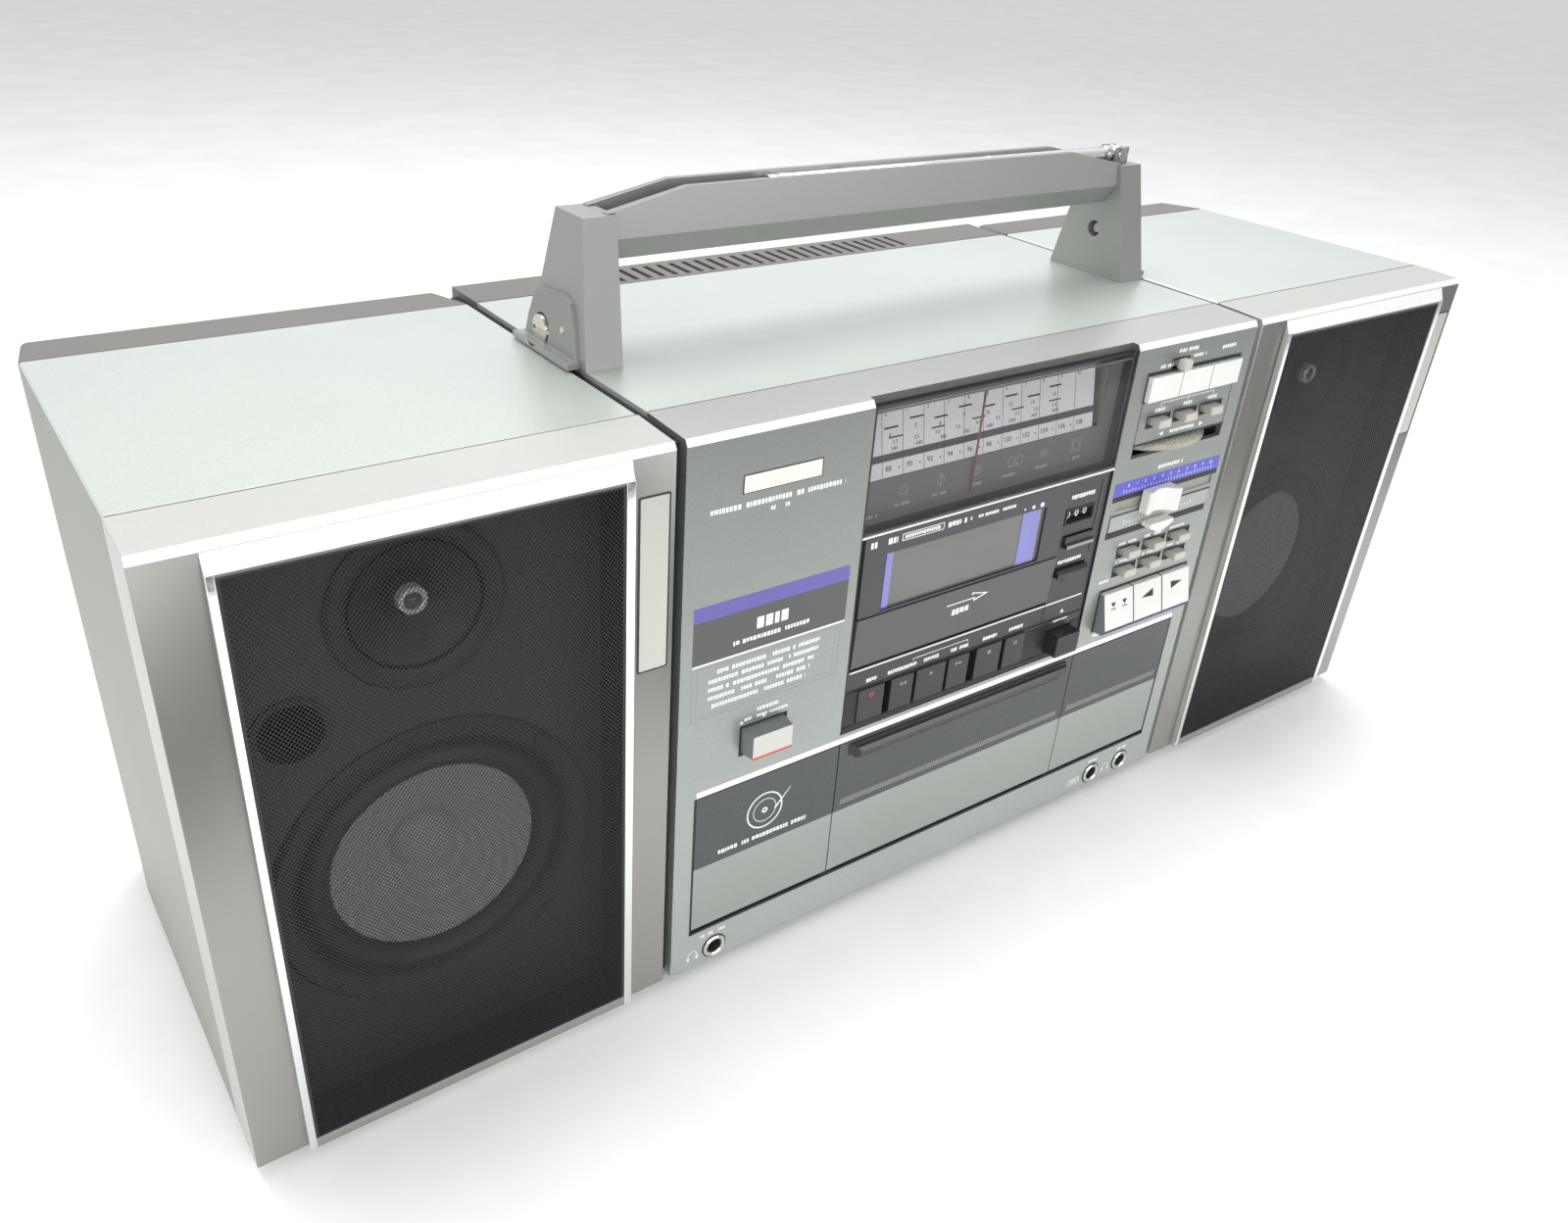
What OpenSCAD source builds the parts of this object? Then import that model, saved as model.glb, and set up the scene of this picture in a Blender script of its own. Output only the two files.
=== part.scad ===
// Portable stereo: a centre unit with radio, cassette deck and slide-out record player,
// a carrying handle with a telescopic aerial, and two speakers that pull off sideways.
// Local places are [x, y, z]: x from the middle, y back from the front face, z up from the cabinet floor.

/* [Cabinets] */
// Width over both speakers
total_w = 690; // [690:1:720]
// Width of the centre unit
center_w = 325; // [325:1:330]
// Gap between the centre unit and each speaker
unit_gap = 4; // [3.6:0.1:5]
// Height of the cabinets without the feet
body_h = 261; // [261:1:264]
// Depth of the cabinets
body_d = 203; // [203:1:210]
// Height of the feet
foot_h = 5; // [4:0.5:8]
// Radius of one foot
foot_r = 9; // [7:0.5:12]
// Wall thickness of the centre unit
wall = 3; // [2.5:0.5:3]
// Wall thickness of a speaker cabinet
cabinet_wall = 6; // [4:0.5:8]
// Depth of the front mouldings on the top and sides
band_d = 27.5; // [26:0.5:30]
// Thickness of the top cover
cover_t = 2; // [1.5:0.5:3]
// Depth of the strip along the rear of the top
strip_d = 28; // [26:1:32]
// How far the rear bumpers stand out
bumper_reach = 4; // [3:0.5:6]

/* [Vents] */
// Number of cooling slots in the rear strip
vent_count = 26; // [10:1:30]
// Distance from slot to slot
vent_pitch = 7.4; // [6:0.1:8]
// Width of one slot
vent_w = 3; // [2:0.5:4]

/* [Handle] */
// Height of the handle posts above the cabinets
post_h = 56; // [50:1:64]
// Depth of a post at its base
post_base_d = 49; // [44:1:54]
// Depth of a post at its top
post_top_d = 22; // [20:1:26]
// Width of a post at its base
post_base_w = 16.6; // [15:0.2:17]
// Width of a post at its top
post_top_w = 14.8; // [13:0.2:15]
// Place of the grip's centre behind the front face
grip_y = 95.5; // [90:0.5:100]
// Where the top edge of the grip starts to slope down to the posts
grip_kink_x = 109.5; // [90:0.5:120]
// Radius of the coin screws
coin_screw_r = 6; // [5:0.5:7]

/* [Aerial] */
// Radius of the outer tube
aerial_r = 3.5; // [3:0.1:3.5]
// Radius of the inner tube
aerial_inner_r = 2.5; // [2:0.1:2.6]
// Length of the outer tube
aerial_len = 204; // [180:1:206]
// Radius of the knuckle's pin
aerial_pin_r = 1.45; // [1.2:0.05:1.6]

/* [Cassette deck] */
// Left edge of the deck's opening
deck_x0 = -76.6; // [-77:0.1:-76]
// Right edge of the deck's opening
deck_x1 = 76.5; // [76:0.1:77]
// Lower edge of the deck's opening
deck_z0 = 102.5; // [102:0.1:103]
// Left edge of the cassette door
door_x0 = -74.5; // [-75:0.1:-74]
// Right edge of the cassette door
door_x1 = 46.9; // [46:0.1:47]
// Lower edge of the cassette door
door_z0 = 135.2; // [135:0.1:136]
// Upper edge of the cassette door
door_z1 = 200.1; // [199:0.1:200.1]
// Middle of the cassette, from the middle of the unit
cassette_x = -14.6; // [-15:0.1:-14]
// Height of the two hubs
hub_z = 171; // [170:0.5:172]
// Distance between the two hubs
hub_spacing = 42.5; // [42:0.1:43]
// Lower edge of the keys
key_z0 = 106; // [105:0.5:107]
// Upper edge of the keys
key_z1 = 123.5; // [122:0.5:123.5]

/* [Radio dial] */
// Lower edge of the dial window
dial_z0 = 200.5; // [200.5:0.1:201]
// Thickness of the dial window
window_t = 2; // [1.5:0.5:2]
// Depth of the dial's pocket
dial_pocket_d = 12; // [11:0.5:13]
// Rest place of the pointer
pointer_x = -12; // [-20:1:0]
// Radius of the tuning wheel
tuning_r = 40; // [38:0.5:40]
// How far the tuning wheel stands out
tuning_reach = 6.5; // [5:0.5:7]

/* [Right panel] */
// Middle of the right panel's controls
panel_x = 120.2; // [119:0.1:121]
// Distance between neighbouring push buttons
button_pitch = 22.2; // [22:0.1:22.4]
// Width of one push button
button_w = 21.4; // [20:0.1:21.6]
// Distance between neighbouring lever switches
lever_pitch = 19.3; // [18:0.1:20]
// Width of a lever switch
lever_w = 8.6; // [7:0.2:8.6]
// Height of a lever switch
lever_h = 4.2; // [3.4:0.2:4.2]
// Travel of a lever switch to each side
lever_travel = 3.5; // [3:0.5:4]
// Rest place of the volume slider
volume_x = 111.5; // [105:0.5:120]
// Rest place of the balance slider
balance_x = 115; // [110:0.5:122]

/* [Turntable drawer] */
// Width of the drawer's front
drawer_w = 304.6; // [303:0.1:304.6]
// Lower edge of the drawer's front
drawer_z0 = 21.8; // [21.5:0.1:22]
// Upper edge of the drawer's front
drawer_z1 = 96.9; // [96:0.1:97]
// Radius of the platter
platter_r = 38; // [30:1:38]
// Height of the platter's upper face, where the record lies
record_z = 69; // [68:0.5:71]
// Radius of the platter's spindle
spindle_r = 3.6; // [3.5:0.05:3.65]

/* [Speakers] */
// Radius of the woofer's flange
woofer_r = 64; // [60:1:65]
// Radius of the woofer's cone
cone_r = 40; // [36:1:44]
// Height of the woofer's centre
woofer_z = 100; // [95:1:102]
// Radius of the tweeter's flange
tweeter_r = 32; // [28:1:34]
// Height of the tweeter's centre
tweeter_z = 213; // [208:1:215]
// Radius of the bass port
port_r = 12; // [9:0.5:13]

/* [Sockets] */
// Bore radius of the front sockets, for a phone plug
jack_bore_r = 3.2; // [3.2:0.05:3.3]
// Depth of the front sockets' bores
jack_depth = 26; // [20:1:30]
// Height of the front sockets
jack_z = 7.6; // [7.6:0.1:8.4]

/* [Hidden] */
$fn = 64;
slit = 0.4;          // clearance round what moves in an opening
eps = 1;             // how far a cut runs past a face
front_reach = 9;     // how far the furthest knob stands out of the front
front_y = front_reach - (front_reach + body_d + bumper_reach) / 2;
half_w = center_w / 2;
strip_y = body_d - strip_d;
speaker_w = (total_w - center_w - 2 * unit_gap) / 2;
speaker_x = total_w / 2 - speaker_w / 2;
grille_out = 3;      // how far the grille's field stands out of the rails
top_edge_z = body_h - 3.8;
edge_profile = [[0, 0], [0, top_edge_z], [1.6, body_h - 1.1], [band_d, body_h], [band_d, 0]];
edge_hollow = [[wall, wall], [wall, body_h - wall - 1.4], [band_d + eps, body_h - wall],
    [band_d + eps, wall]];
wrap_y = 4.5;        // how far the dial window runs back onto the top
hinge_y = 2.3;       // place of the cassette door's pins behind the front face
hinge_z = door_z0 + 1.5;
hinge_pin_r = 1;
panel_front = 0.8;   // how far the deck's panel lies behind the front face
panel_t = 3;
pocket_t = 1.2;      // wall of the dial's pocket
window_z0 = dial_z0 + pocket_t + 0.1;
post_in = 146.4;
post_in_top = 143;
post_y0 = 73;
post_top_y0 = 84;
grip_top = body_h + post_h + 8;
trough_z = body_h + post_h - 3;
aerial_z = body_h + post_h + 4;
aerial_x = 150;
bay_back = 17;
hub_x = [cassette_x - hub_spacing / 2, cassette_x + hub_spacing / 2];
tuning_z = 206;
tuning_x = 118.5;
tuning_y = tuning_r - tuning_reach;
function_z = 237.5;
timer_z = 247.3;
timer_x = 108;
band_z = 220;
tone_z = [151.2, 140.6];
volume_z = 178.6;
balance_z = 164;
cue_z = 119;
drawer_wall = 3;
drawer_z = 24;       // lower edge of the drawer's skirts, on the rails
deck_plate_z = 57;
platter_y = 156;
rail_y = 35;
arm_x = 147;
foot_spots = [[-1, 40], [1, 40], [-1, 178], [1, 178]];
peg_spots = [[60, 12], [165, 12], [60, 240], [165, 240]];
jack_x = [-139.4, 113.6, 137.6];
rear_socket_z = 148;
inlet_x = 118;
terminal_x = 50;
// Key edges, left to right: record, rewind, play, forward, stop, pause
key_x = [[-68.6, -53.4], [-49.6, -36], [-34.4, -16.3], [-14.7, -1.5], [3.2, 19.7], [22, 35.5]];
eject_x = [52.5, 68.3];

// ---- Helpers in local places ----

// Box between two x, two y and two z places
module box(x0, x1, y0, y1, z0, z1)
    translate([x0, front_y + y0, foot_h + z0]) cube([x1 - x0, y1 - y0, z1 - z0]);

// Outline in y and z, drawn out from x0 to x1
module run_x(x0, x1)
    translate([x0, front_y, foot_h]) rotate([90, 0, 90]) linear_extrude(x1 - x0) children();

// Outline in x and z, drawn out from y0 to y1
module run_y(y0, y1)
    translate([0, front_y + y1, foot_h]) rotate([90, 0, 0]) linear_extrude(y1 - y0) children();

// Outline in x and y, drawn out from z0 to z1
module run_z(z0, z1)
    translate([0, front_y, foot_h + z0]) linear_extrude(z1 - z0) children();

// Round bars along each axis
module bar_x(x0, x1, y, z, r)
    translate([x0, front_y + y, foot_h + z]) rotate([0, 90, 0]) cylinder(r = r, h = x1 - x0);

module bar_y(x, y0, y1, z, r)
    translate([x, front_y + y0, foot_h + z]) rotate([-90, 0, 0]) cylinder(r = r, h = y1 - y0);

module bar_z(x, y, z0, z1, r)
    translate([x, front_y + y, foot_h + z0]) cylinder(r = r, h = z1 - z0);

// Outline of radius and depth, turned about an axis that points to the rear
module turn_y(x, y, z)
    translate([x, front_y + y, foot_h + z]) rotate([-90, 0, 0]) rotate_extrude($fn = 96) children();

// Cut with a middle, a size and the room that a moving piece needs
module slot(x, z, w, h, y1)
    box(x - w / 2 - slit, x + w / 2 + slit, -eps, y1, z - h / 2 - slit, z + h / 2 + slit);

// Push button: a cap in front, a wider guide behind the panel that keeps it in
module push_button(x, z, w, h, reach, depth) {
    box(x - w / 2, x + w / 2, -reach, depth, z - h / 2, z + h / 2);
    bar_y(x, depth, depth + 4, z, h / 4);
}

// Lever switch: a thin lever with a flat slide behind the panel
module lever(x, z, w, h, reach) {
    box(x - w / 2, x + w / 2, -reach, wall + slit, z - h / 2, z + h / 2);
    box(x - w / 2 - 1.5, x + w / 2 + 1.5, wall + slit, wall + 3, z - h / 2 - 0.9, z + h / 2 + 0.9);
}

// ---- Centre unit: fixed pieces ----

module rear_case() color("#6f6a64")
    difference() {
        union() {
            difference() {
                box(-half_w, half_w, band_d, body_d, 0, body_h);
                box(-half_w + wall, half_w - wall, band_d - eps, strip_y, wall, body_h + eps);
                box(-half_w + wall, half_w - wall, strip_y - eps, body_d - wall, wall, body_h - wall);
                box(-half_w - eps, half_w + eps, band_d - eps, strip_y, body_h - cover_t, body_h + eps);
            }
            for (side = [-1, 1])
                box(side * 151.25 - 8.25, side * 151.25 + 8.25, 30, body_d - wall, 18, drawer_z - 0.4);
            for (spot = foot_spots) {
                bar_z(spot[0] * (half_w - 24), spot[1], -foot_h, 0, foot_r);
                bar_y(spot[0] * (half_w - 24), body_d, body_d + bumper_reach, spot[1] + 36, foot_r);
            }
        }
        for (i = [0:vent_count - 1])
            box((i - (vent_count - 1) / 2) * vent_pitch - vent_w / 2,
                (i - (vent_count - 1) / 2) * vent_pitch + vent_w / 2,
                strip_y + 4, body_d - wall - 2, body_h - wall - eps, body_h + eps);
        for (side = [-1, 1])
            for (spot = peg_spots)
                bar_x(side * half_w - 2 * wall, side * half_w + 2 * wall, spot[0], spot[1], 4.4);
        for (place = [[inlet_x, 13], [-terminal_x, 22], [terminal_x, 22]])
            box(place[0] - place[1], place[0] + place[1], body_d - wall - eps, body_d + eps,
                rear_socket_z - 8, rear_socket_z + 8);
    }

module top_cover() color("#b9c4c0")
    box(-half_w, half_w, band_d, strip_y, body_h - cover_t, body_h);

module front_panel() color("#8f9a98")
    difference() {
        run_x(-half_w, half_w) polygon(edge_profile);
        run_x(-half_w + wall, half_w - wall) polygon(edge_hollow);
        box(deck_x0, deck_x1, -eps, wrap_y, deck_z0, body_h + eps);
        box(-drawer_w / 2 - 0.5, drawer_w / 2 + 0.5, -eps, wall + eps, drawer_z0 - 0.8,
            drawer_z1 + 0.5);
        slot(-120, 119.5, 22, 13, wall + eps);
        slot(timer_x, timer_z, 4 + 2 * lever_travel, 3.4, wall + eps);
        for (i = [-1:1]) {
            slot(panel_x + i * button_pitch, function_z, button_w, 12, wall + eps);
            slot(panel_x + i * lever_pitch, band_z, lever_w + 2 * lever_travel, lever_h, wall + eps);
            slot(panel_x + i * button_pitch, cue_z, button_w, 22, wall + eps);
            for (row = tone_z)
                slot(panel_x + i * lever_pitch, row, lever_w + 2 * lever_travel, lever_h, wall + eps);
        }
        box(panel_x - 33.4, panel_x + 33.4, -eps, wall + eps, tuning_z - 3.2, tuning_z + 3.2);
        box(panel_x - 36, panel_x + 36, -eps, wall + eps, volume_z - 2.4, volume_z + 2.4);
        box(panel_x - 36, panel_x + 36, -eps, wall + eps, balance_z - 1.6, balance_z + 1.6);
        for (x = jack_x)
            bar_y(x, -eps, wall + eps, jack_z, 4.7);
    }

// Panel round the keys, the door and the counter, with the pocket behind the dial
module deck_panel() color("#3d4142")
    difference() {
        union() {
            box(deck_x0 + 0.1, deck_x1 - 0.1, panel_front, panel_front + panel_t, deck_z0 + 0.1,
                dial_z0 + pocket_t);
            box(deck_x0 - 3, deck_x1 + 3, wall, wall + dial_pocket_d, dial_z0, body_h - 5);
        }
        box(deck_x0, deck_x1, 0, wall + dial_pocket_d - 2, dial_z0 + pocket_t, body_h - 5.6);
        box(door_x0 - slit, door_x1 + slit, -eps, panel_front + panel_t + eps, door_z0 - slit,
            door_z1 + slit);
        box(key_x[0][0] - slit, key_x[5][1] + slit, -eps, 2 * wall, key_z0 - slit, key_z1 + slit);
        box(eject_x[0] - slit, eject_x[1] + slit, -eps, 2 * wall, key_z0 - slit, 118 + slit);
        box(50 - slit, 67.2 + slit, -eps, 2 * wall, 177.5, 183.5);
        slot(60.4, 167.5, 19, 6, 2 * wall);
        slot(58.9, 151.2, 21, 4, 2 * wall);
        bar_x(door_x0 - 1.8, door_x1 + 2.2, hinge_y, hinge_z, hinge_pin_r + 0.1);
    }

// Clear cover of the dial, which runs over the front edge onto the top
module dial_window() color("#50565a", 0.5)
    intersection() {
        run_x(deck_x0 + 0.1, deck_x1 - 0.1)
            polygon([[0, window_z0], [0, top_edge_z], [1.6, body_h - 1.1], [wrap_y, body_h - 0.9],
                [wrap_y, body_h - 3], [3, body_h - 3.4], [window_t, body_h - 5.2], [window_t, window_z0]]);
        box(-half_w, half_w, -eps, wrap_y - 0.1, 0, body_h);
    }

// Cassette mechanism: front plate, capstans, heads, motor and flywheel behind the bay
module tape_mechanism() color("#8a8d90") {
    difference() {
        box(cassette_x - 55, cassette_x + 55, bay_back, bay_back + 2, 126, 196);
        for (x = hub_x)
            bar_y(x, bay_back - eps, bay_back + 3, hub_z, 5);
    }
    difference() {
        box(cassette_x - 50, cassette_x + 50, bay_back + 2, bay_back + 8, 140, 192);
        for (x = hub_x)
            bar_y(x, bay_back + 1, bay_back + 9, hub_z, 8);
    }
    difference() {
        box(cassette_x - 50, cassette_x + 50, bay_back + 8, bay_back + 12, 140, 192);
        for (x = hub_x)
            bar_y(x, bay_back + 7, bay_back + 13, hub_z, 2.05);
    }
    bar_y(cassette_x + 30, bay_back + 12, bay_back + 40, 158, 16);
    bar_y(cassette_x - 28, bay_back + 12, bay_back + 20, 160, 22);
    box(cassette_x - 12, cassette_x + 12, bay_back - 5, bay_back, 128.5, 137);
}

// Circuit board on the rear wall, with the mains transformer and the tuning wheel's bracket
module main_board() color("#3f6b4a") {
    box(-150, 150, 158, 160, 108, 250);
    for (x = [-130, 130])
        for (z = [116, 242])
            bar_y(x, 160, body_d - wall, z, 4);
    box(-142, -82, 112, 158, 104, 158);
    box(96, 144, 60, 158, 190, 194);
    box(110, 130, tuning_y - 10, 60, 190, 194);
    bar_z(tuning_x, tuning_y, 194, 214, 2.95);
    box(70, 90, 130, 158, 112, 150);
}

module post_shape()
    intersection() {
        run_y(post_y0, post_y0 + post_base_d)
            polygon([[post_in, body_h], [post_in + post_base_w, body_h],
                [post_in_top + post_top_w, body_h + post_h], [post_in_top, body_h + post_h]]);
        run_x(post_in_top - eps, post_in + post_base_w + eps)
            polygon([[post_y0, body_h], [post_y0 + post_base_d, body_h],
                [post_top_y0 + post_top_d, body_h + post_h], [post_top_y0, body_h + post_h]]);
    }

// Grip: a trough, open at the top, between the posts
module handle_grip() color("#7f8586") {
    difference() {
        run_x(-post_in, post_in)
            polygon([[grip_y - 11, body_h + 46.5], [grip_y - 9, grip_top], [grip_y - 6, grip_top],
                [grip_y - 6, trough_z], [grip_y + 6, trough_z], [grip_y + 6, grip_top],
                [grip_y + 9, grip_top], [grip_y + 11, body_h + 46.5],
                [grip_y + 3.5, body_h + 37], [grip_y - 3.5, body_h + 37]]);
        for (side = [0, 1])
            mirror([side, 0, 0]) {
                run_y(grip_y - 20, grip_y + 20)
                    polygon([[grip_kink_x, grip_top], [grip_kink_x, grip_top + 5],
                        [post_in + 5, grip_top + 5], [post_in + 5, grip_top - 8.6]]);
                post_shape();
            }
    }
    for (side = [-1, 1])
        box(-62, -56, grip_y + side * 4.7 - 0.7, grip_y + side * 4.7 + 0.7, trough_z, aerial_z + 1.5);
}

// Two posts with their flanges, and the aerial's fork on the right one
module handle_posts() color("#7a8081") {
    for (side = [0, 1])
        mirror([side, 0, 0]) {
            difference() {
                post_shape();
                bar_x(post_in_top, post_in + 4, grip_y, body_h + 23, 4);
                bar_x(post_in + 8, post_in + 20, post_y0 + 36, body_h + 7.5, coin_screw_r + 0.4);
            }
            difference() {
                box(post_in + post_base_w - 1, half_w + unit_gap + 2.5, post_y0 + 4, post_y0 + 52,
                    body_h + 0.6, body_h + 3);
                post_shape();
                bar_x(post_in + 8, post_in + 24, post_y0 + 36, body_h + 7.5, coin_screw_r + 0.4);
            }
        }
    for (side = [-1, 1])
        box(aerial_x - 4, aerial_x + 4, grip_y + side * 4.4 - 1.1, grip_y + side * 4.4 + 1.1,
            body_h + post_h, aerial_z + 3.4);
    bar_y(aerial_x, grip_y - 4.4, grip_y + 4.4, aerial_z, aerial_pin_r);
}

// Slotted coin screws that hold the posts
module handle_screws() color("#c8cbc8")
    for (side = [0, 1])
        mirror([side, 0, 0])
            difference() {
                bar_x(post_in + 8, post_in + 18.4, post_y0 + 36, body_h + 7.5, coin_screw_r);
                box(post_in + 17.2, post_in + 19, post_y0 + 28, post_y0 + 44, body_h + 6.7, body_h + 8.3);
            }

// Phone, microphone sockets in front; mains inlet and speaker terminals at the rear
module jack_sockets() color("#c9c6bc") {
    for (x = jack_x)
        difference() {
            union() {
                bar_y(x, -0.8, 0, jack_z, 5.8);
                bar_y(x, 0, jack_depth + 2, jack_z, 4.5);
            }
            bar_y(x, -2, jack_depth, jack_z, jack_bore_r);
        }
    difference() {
        box(inlet_x - 13, inlet_x + 13, body_d - 18, body_d, rear_socket_z - 8, rear_socket_z + 8);
        box(inlet_x - 8, inlet_x + 8, body_d - 14, body_d + eps, rear_socket_z - 4, rear_socket_z + 4);
    }
    for (side = [-1, 1])
        difference() {
            box(side * terminal_x - 22, side * terminal_x + 22, body_d - 10, body_d,
                rear_socket_z - 8, rear_socket_z + 8);
            for (step = [-1, 1])
                box(side * terminal_x + step * 10 - 4, side * terminal_x + step * 10 + 4, body_d - 7,
                    body_d + eps, rear_socket_z - 4, rear_socket_z + 4);
        }
}

// ---- Centre unit: buttons, switches and knobs ----

module power_button() color("#d9d9d6") push_button(-120, 119.5, 22, 13, 7.5, 12);

module timer_switch() color("#b5ad9c") lever(timer_x, timer_z, 4, 3.4, 5);

module function_button(i) push_button(panel_x + (i - 2) * button_pitch, function_z, button_w, 12, 2.5, 12);
module function_button_1() color("#efefec") function_button(1);
module function_button_2() color("#efefec") function_button(2);
module function_button_3() color("#efefec") function_button(3);

module band_switch(i) lever(panel_x + (i - 2) * lever_pitch, band_z, lever_w, lever_h, 5);
module band_switch_1() color("#b5ad9c") band_switch(1);
module band_switch_2() color("#b5ad9c") band_switch(2);
module band_switch_3() color("#b5ad9c") band_switch(3);

module tuning_knob() color("#c9c6bc")
    difference() {
        union() {
            bar_z(tuning_x, tuning_y, tuning_z - 2.6, tuning_z + 2.6, tuning_r);
            bar_z(tuning_x, tuning_y, 196, tuning_z, 12);
        }
        bar_z(tuning_x, tuning_y, 190, 216, 3);
    }

// Pointer of the dial, with the clip that rides on its cord
module dial_pointer() color("#d8452f") {
    box(pointer_x - 0.6, pointer_x + 0.6, window_t + 3, window_t + 4.2, dial_z0 + 5, body_h - 9);
    box(pointer_x - 5, pointer_x + 5, window_t + 4.2, window_t + 7.5, dial_z0 + 5, dial_z0 + 9);
}

module volume_slider() color("#e6e6e2") {
    difference() {
        box(volume_x - 10, volume_x + 10, -front_reach, -0.6, volume_z - 6, volume_z + 6);
        bar_z(volume_x, -front_reach - 5, volume_z - 7, volume_z + 7, 9);
    }
    box(volume_x - 4, volume_x + 4, -0.6, wall + slit, volume_z - 2, volume_z + 2);
    box(volume_x - 7, volume_x + 7, wall + slit, wall + 4, volume_z - 4, volume_z + 4);
}

module balance_slider() color("#d9d9d6") {
    box(balance_x - 7, balance_x + 7, -6, -0.6, balance_z - 3, balance_z + 3);
    box(balance_x - 3, balance_x + 3, -0.6, wall + slit, balance_z - 1.2, balance_z + 1.2);
    box(balance_x - 6, balance_x + 6, wall + slit, wall + 4, balance_z - 3, balance_z + 3);
}

// Tone switches: three in the upper row, three in the lower row
module tone_switch(i)
    lever(panel_x + ((i - 1) % 3 - 1) * lever_pitch, tone_z[floor((i - 1) / 3)], lever_w, lever_h, 5);
module tone_switch_1() color("#b5ad9c") tone_switch(1);
module tone_switch_2() color("#b5ad9c") tone_switch(2);
module tone_switch_3() color("#b5ad9c") tone_switch(3);
module tone_switch_4() color("#b5ad9c") tone_switch(4);
module tone_switch_5() color("#b5ad9c") tone_switch(5);
module tone_switch_6() color("#b5ad9c") tone_switch(6);

// Turntable buttons: wedges that stand out further at the lower edge
module turntable_button(i) {
    x = panel_x + (i - 2) * button_pitch;
    run_x(x - button_w / 2, x + button_w / 2)
        polygon([[-2.5, cue_z + 11], [-7.5, cue_z - 7.5], [-5.5, cue_z - 11], [12, cue_z - 11],
            [12, cue_z + 11]]);
    bar_y(x, 12, 16, cue_z, 5);
}
module turntable_button_1() color("#efefec") turntable_button(1);
module turntable_button_2() color("#efefec") turntable_button(2);
module turntable_button_3() color("#efefec") turntable_button(3);

// ---- Cassette deck: keys, door and hubs ----

module deck_key(i) {
    box(key_x[i][0], key_x[i][1], -0.5, 12, key_z0, key_z1);
    box(key_x[i][0] + 3, key_x[i][1] - 3, 12, 15, key_z0 + 3, key_z1 - 6);
}
module key_record() color("#26272a") deck_key(0);
module key_rewind() color("#26272a") deck_key(1);
module key_play() color("#26272a") deck_key(2);
module key_forward() color("#26272a") deck_key(3);
module key_stop() color("#26272a") deck_key(4);
module key_pause() color("#26272a") deck_key(5);
module key_eject() color("#2e3033") {
    box(eject_x[0], eject_x[1], -7, 12, key_z0, 118);
    box(eject_x[0] + 3, eject_x[1] - 3, 12, 15, key_z0 + 2, 116);
}

module counter_reset_button() color("#26272a") push_button(60.4, 167.5, 19, 6, 2, 10);
module record_mute_button() color("#26272a") push_button(58.9, 151.2, 21, 4, 2.5, 10);

// Door on two pins, with the two channels that carry a cassette
module cassette_door() color("#45494b") {
    run_x(door_x0, door_x1)
        polygon([[1.6, door_z0], [0.9, door_z0 + 0.6], [0.2, door_z0 + 1.5], [-0.9, door_z0 + 26.5],
            [-0.2, door_z1], [3, door_z1], [3, door_z0]]);
    bar_x(door_x0 - 1.6, door_x1 + 2, hinge_y, hinge_z, hinge_pin_r);
    for (edge = [[cassette_x - 53.5, cassette_x - 51.3], [cassette_x + 51.3, cassette_x + 53.5]])
        box(edge[0], edge[1], 3, 14, door_z0 + 3, door_z1 - 8);
    for (side = [-1, 1])
        box(cassette_x + side * 42 - 8, cassette_x + side * 42 + 8, 3, 14, door_z0 + 1, door_z0 + 3);
}

// Hub: a splined tip on a shaft, with a disc that the drive turns
module tape_hub(x) {
    bar_y(x, 8, bay_back + 2.4, hub_z, 3.6);
    for (turn = [0, 120, 240])
        translate([x, front_y + 9, foot_h + hub_z]) rotate([0, turn, 0])
            translate([-0.8, 0, 0]) cube([1.6, 6, 4.7]);
    bar_y(x, bay_back + 2.4, bay_back + 7.6, hub_z, 7.4);
    bar_y(x, bay_back + 7.6, bay_back + 11.5, hub_z, 2);
}
module supply_hub() color("#d6d6d2") tape_hub(hub_x[0]);
module takeup_hub() color("#d6d6d2") tape_hub(hub_x[1]);

// ---- Record player ----

// Drawer: a top plate with side and rear skirts, the platter's bearing, motor and the arm's rail
module turntable_drawer() color("#2c2f32") {
    difference() {
        box(-150, 150, 4, 196, drawer_z, deck_plate_z + 3);
        box(-150 + drawer_wall, 150 - drawer_wall, 7, 196 - drawer_wall, drawer_z - eps, deck_plate_z);
        bar_z(0, platter_y, deck_plate_z - eps, deck_plate_z + 4, 3.05);
    }
    difference() {
        bar_z(0, platter_y, deck_plate_z - 18, deck_plate_z, 9);
        bar_z(0, platter_y, deck_plate_z - 20, deck_plate_z + eps, 3.05);
    }
    bar_z(60, platter_y - 40, deck_plate_z - 26, deck_plate_z, 16);
    bar_x(-146, 149, rail_y, record_z + 9, 2.5);
    for (edge = [[-149, -145], [146, 149.9]])
        box(edge[0], edge[1], rail_y - 5, rail_y + 5, deck_plate_z + 3, record_z + 13);
}

// Front of the drawer with its pull lip
module drawer_front() color("#5d6466") {
    box(-drawer_w / 2, drawer_w / 2, 0, 4, drawer_z0, drawer_z1);
    run_x(-70, 70)
        polygon([[0, 88], [-3.5, 88.6], [-5, 92], [-3.5, 94.6], [0, 95.5]]);
}

module platter() color("#3a3c3f") {
    bar_z(0, platter_y, deck_plate_z + 4, record_z, platter_r);
    bar_z(0, platter_y, record_z, record_z + 9, spindle_r);
    bar_z(0, platter_y, deck_plate_z - 17, deck_plate_z + 4, 3);
}

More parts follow.
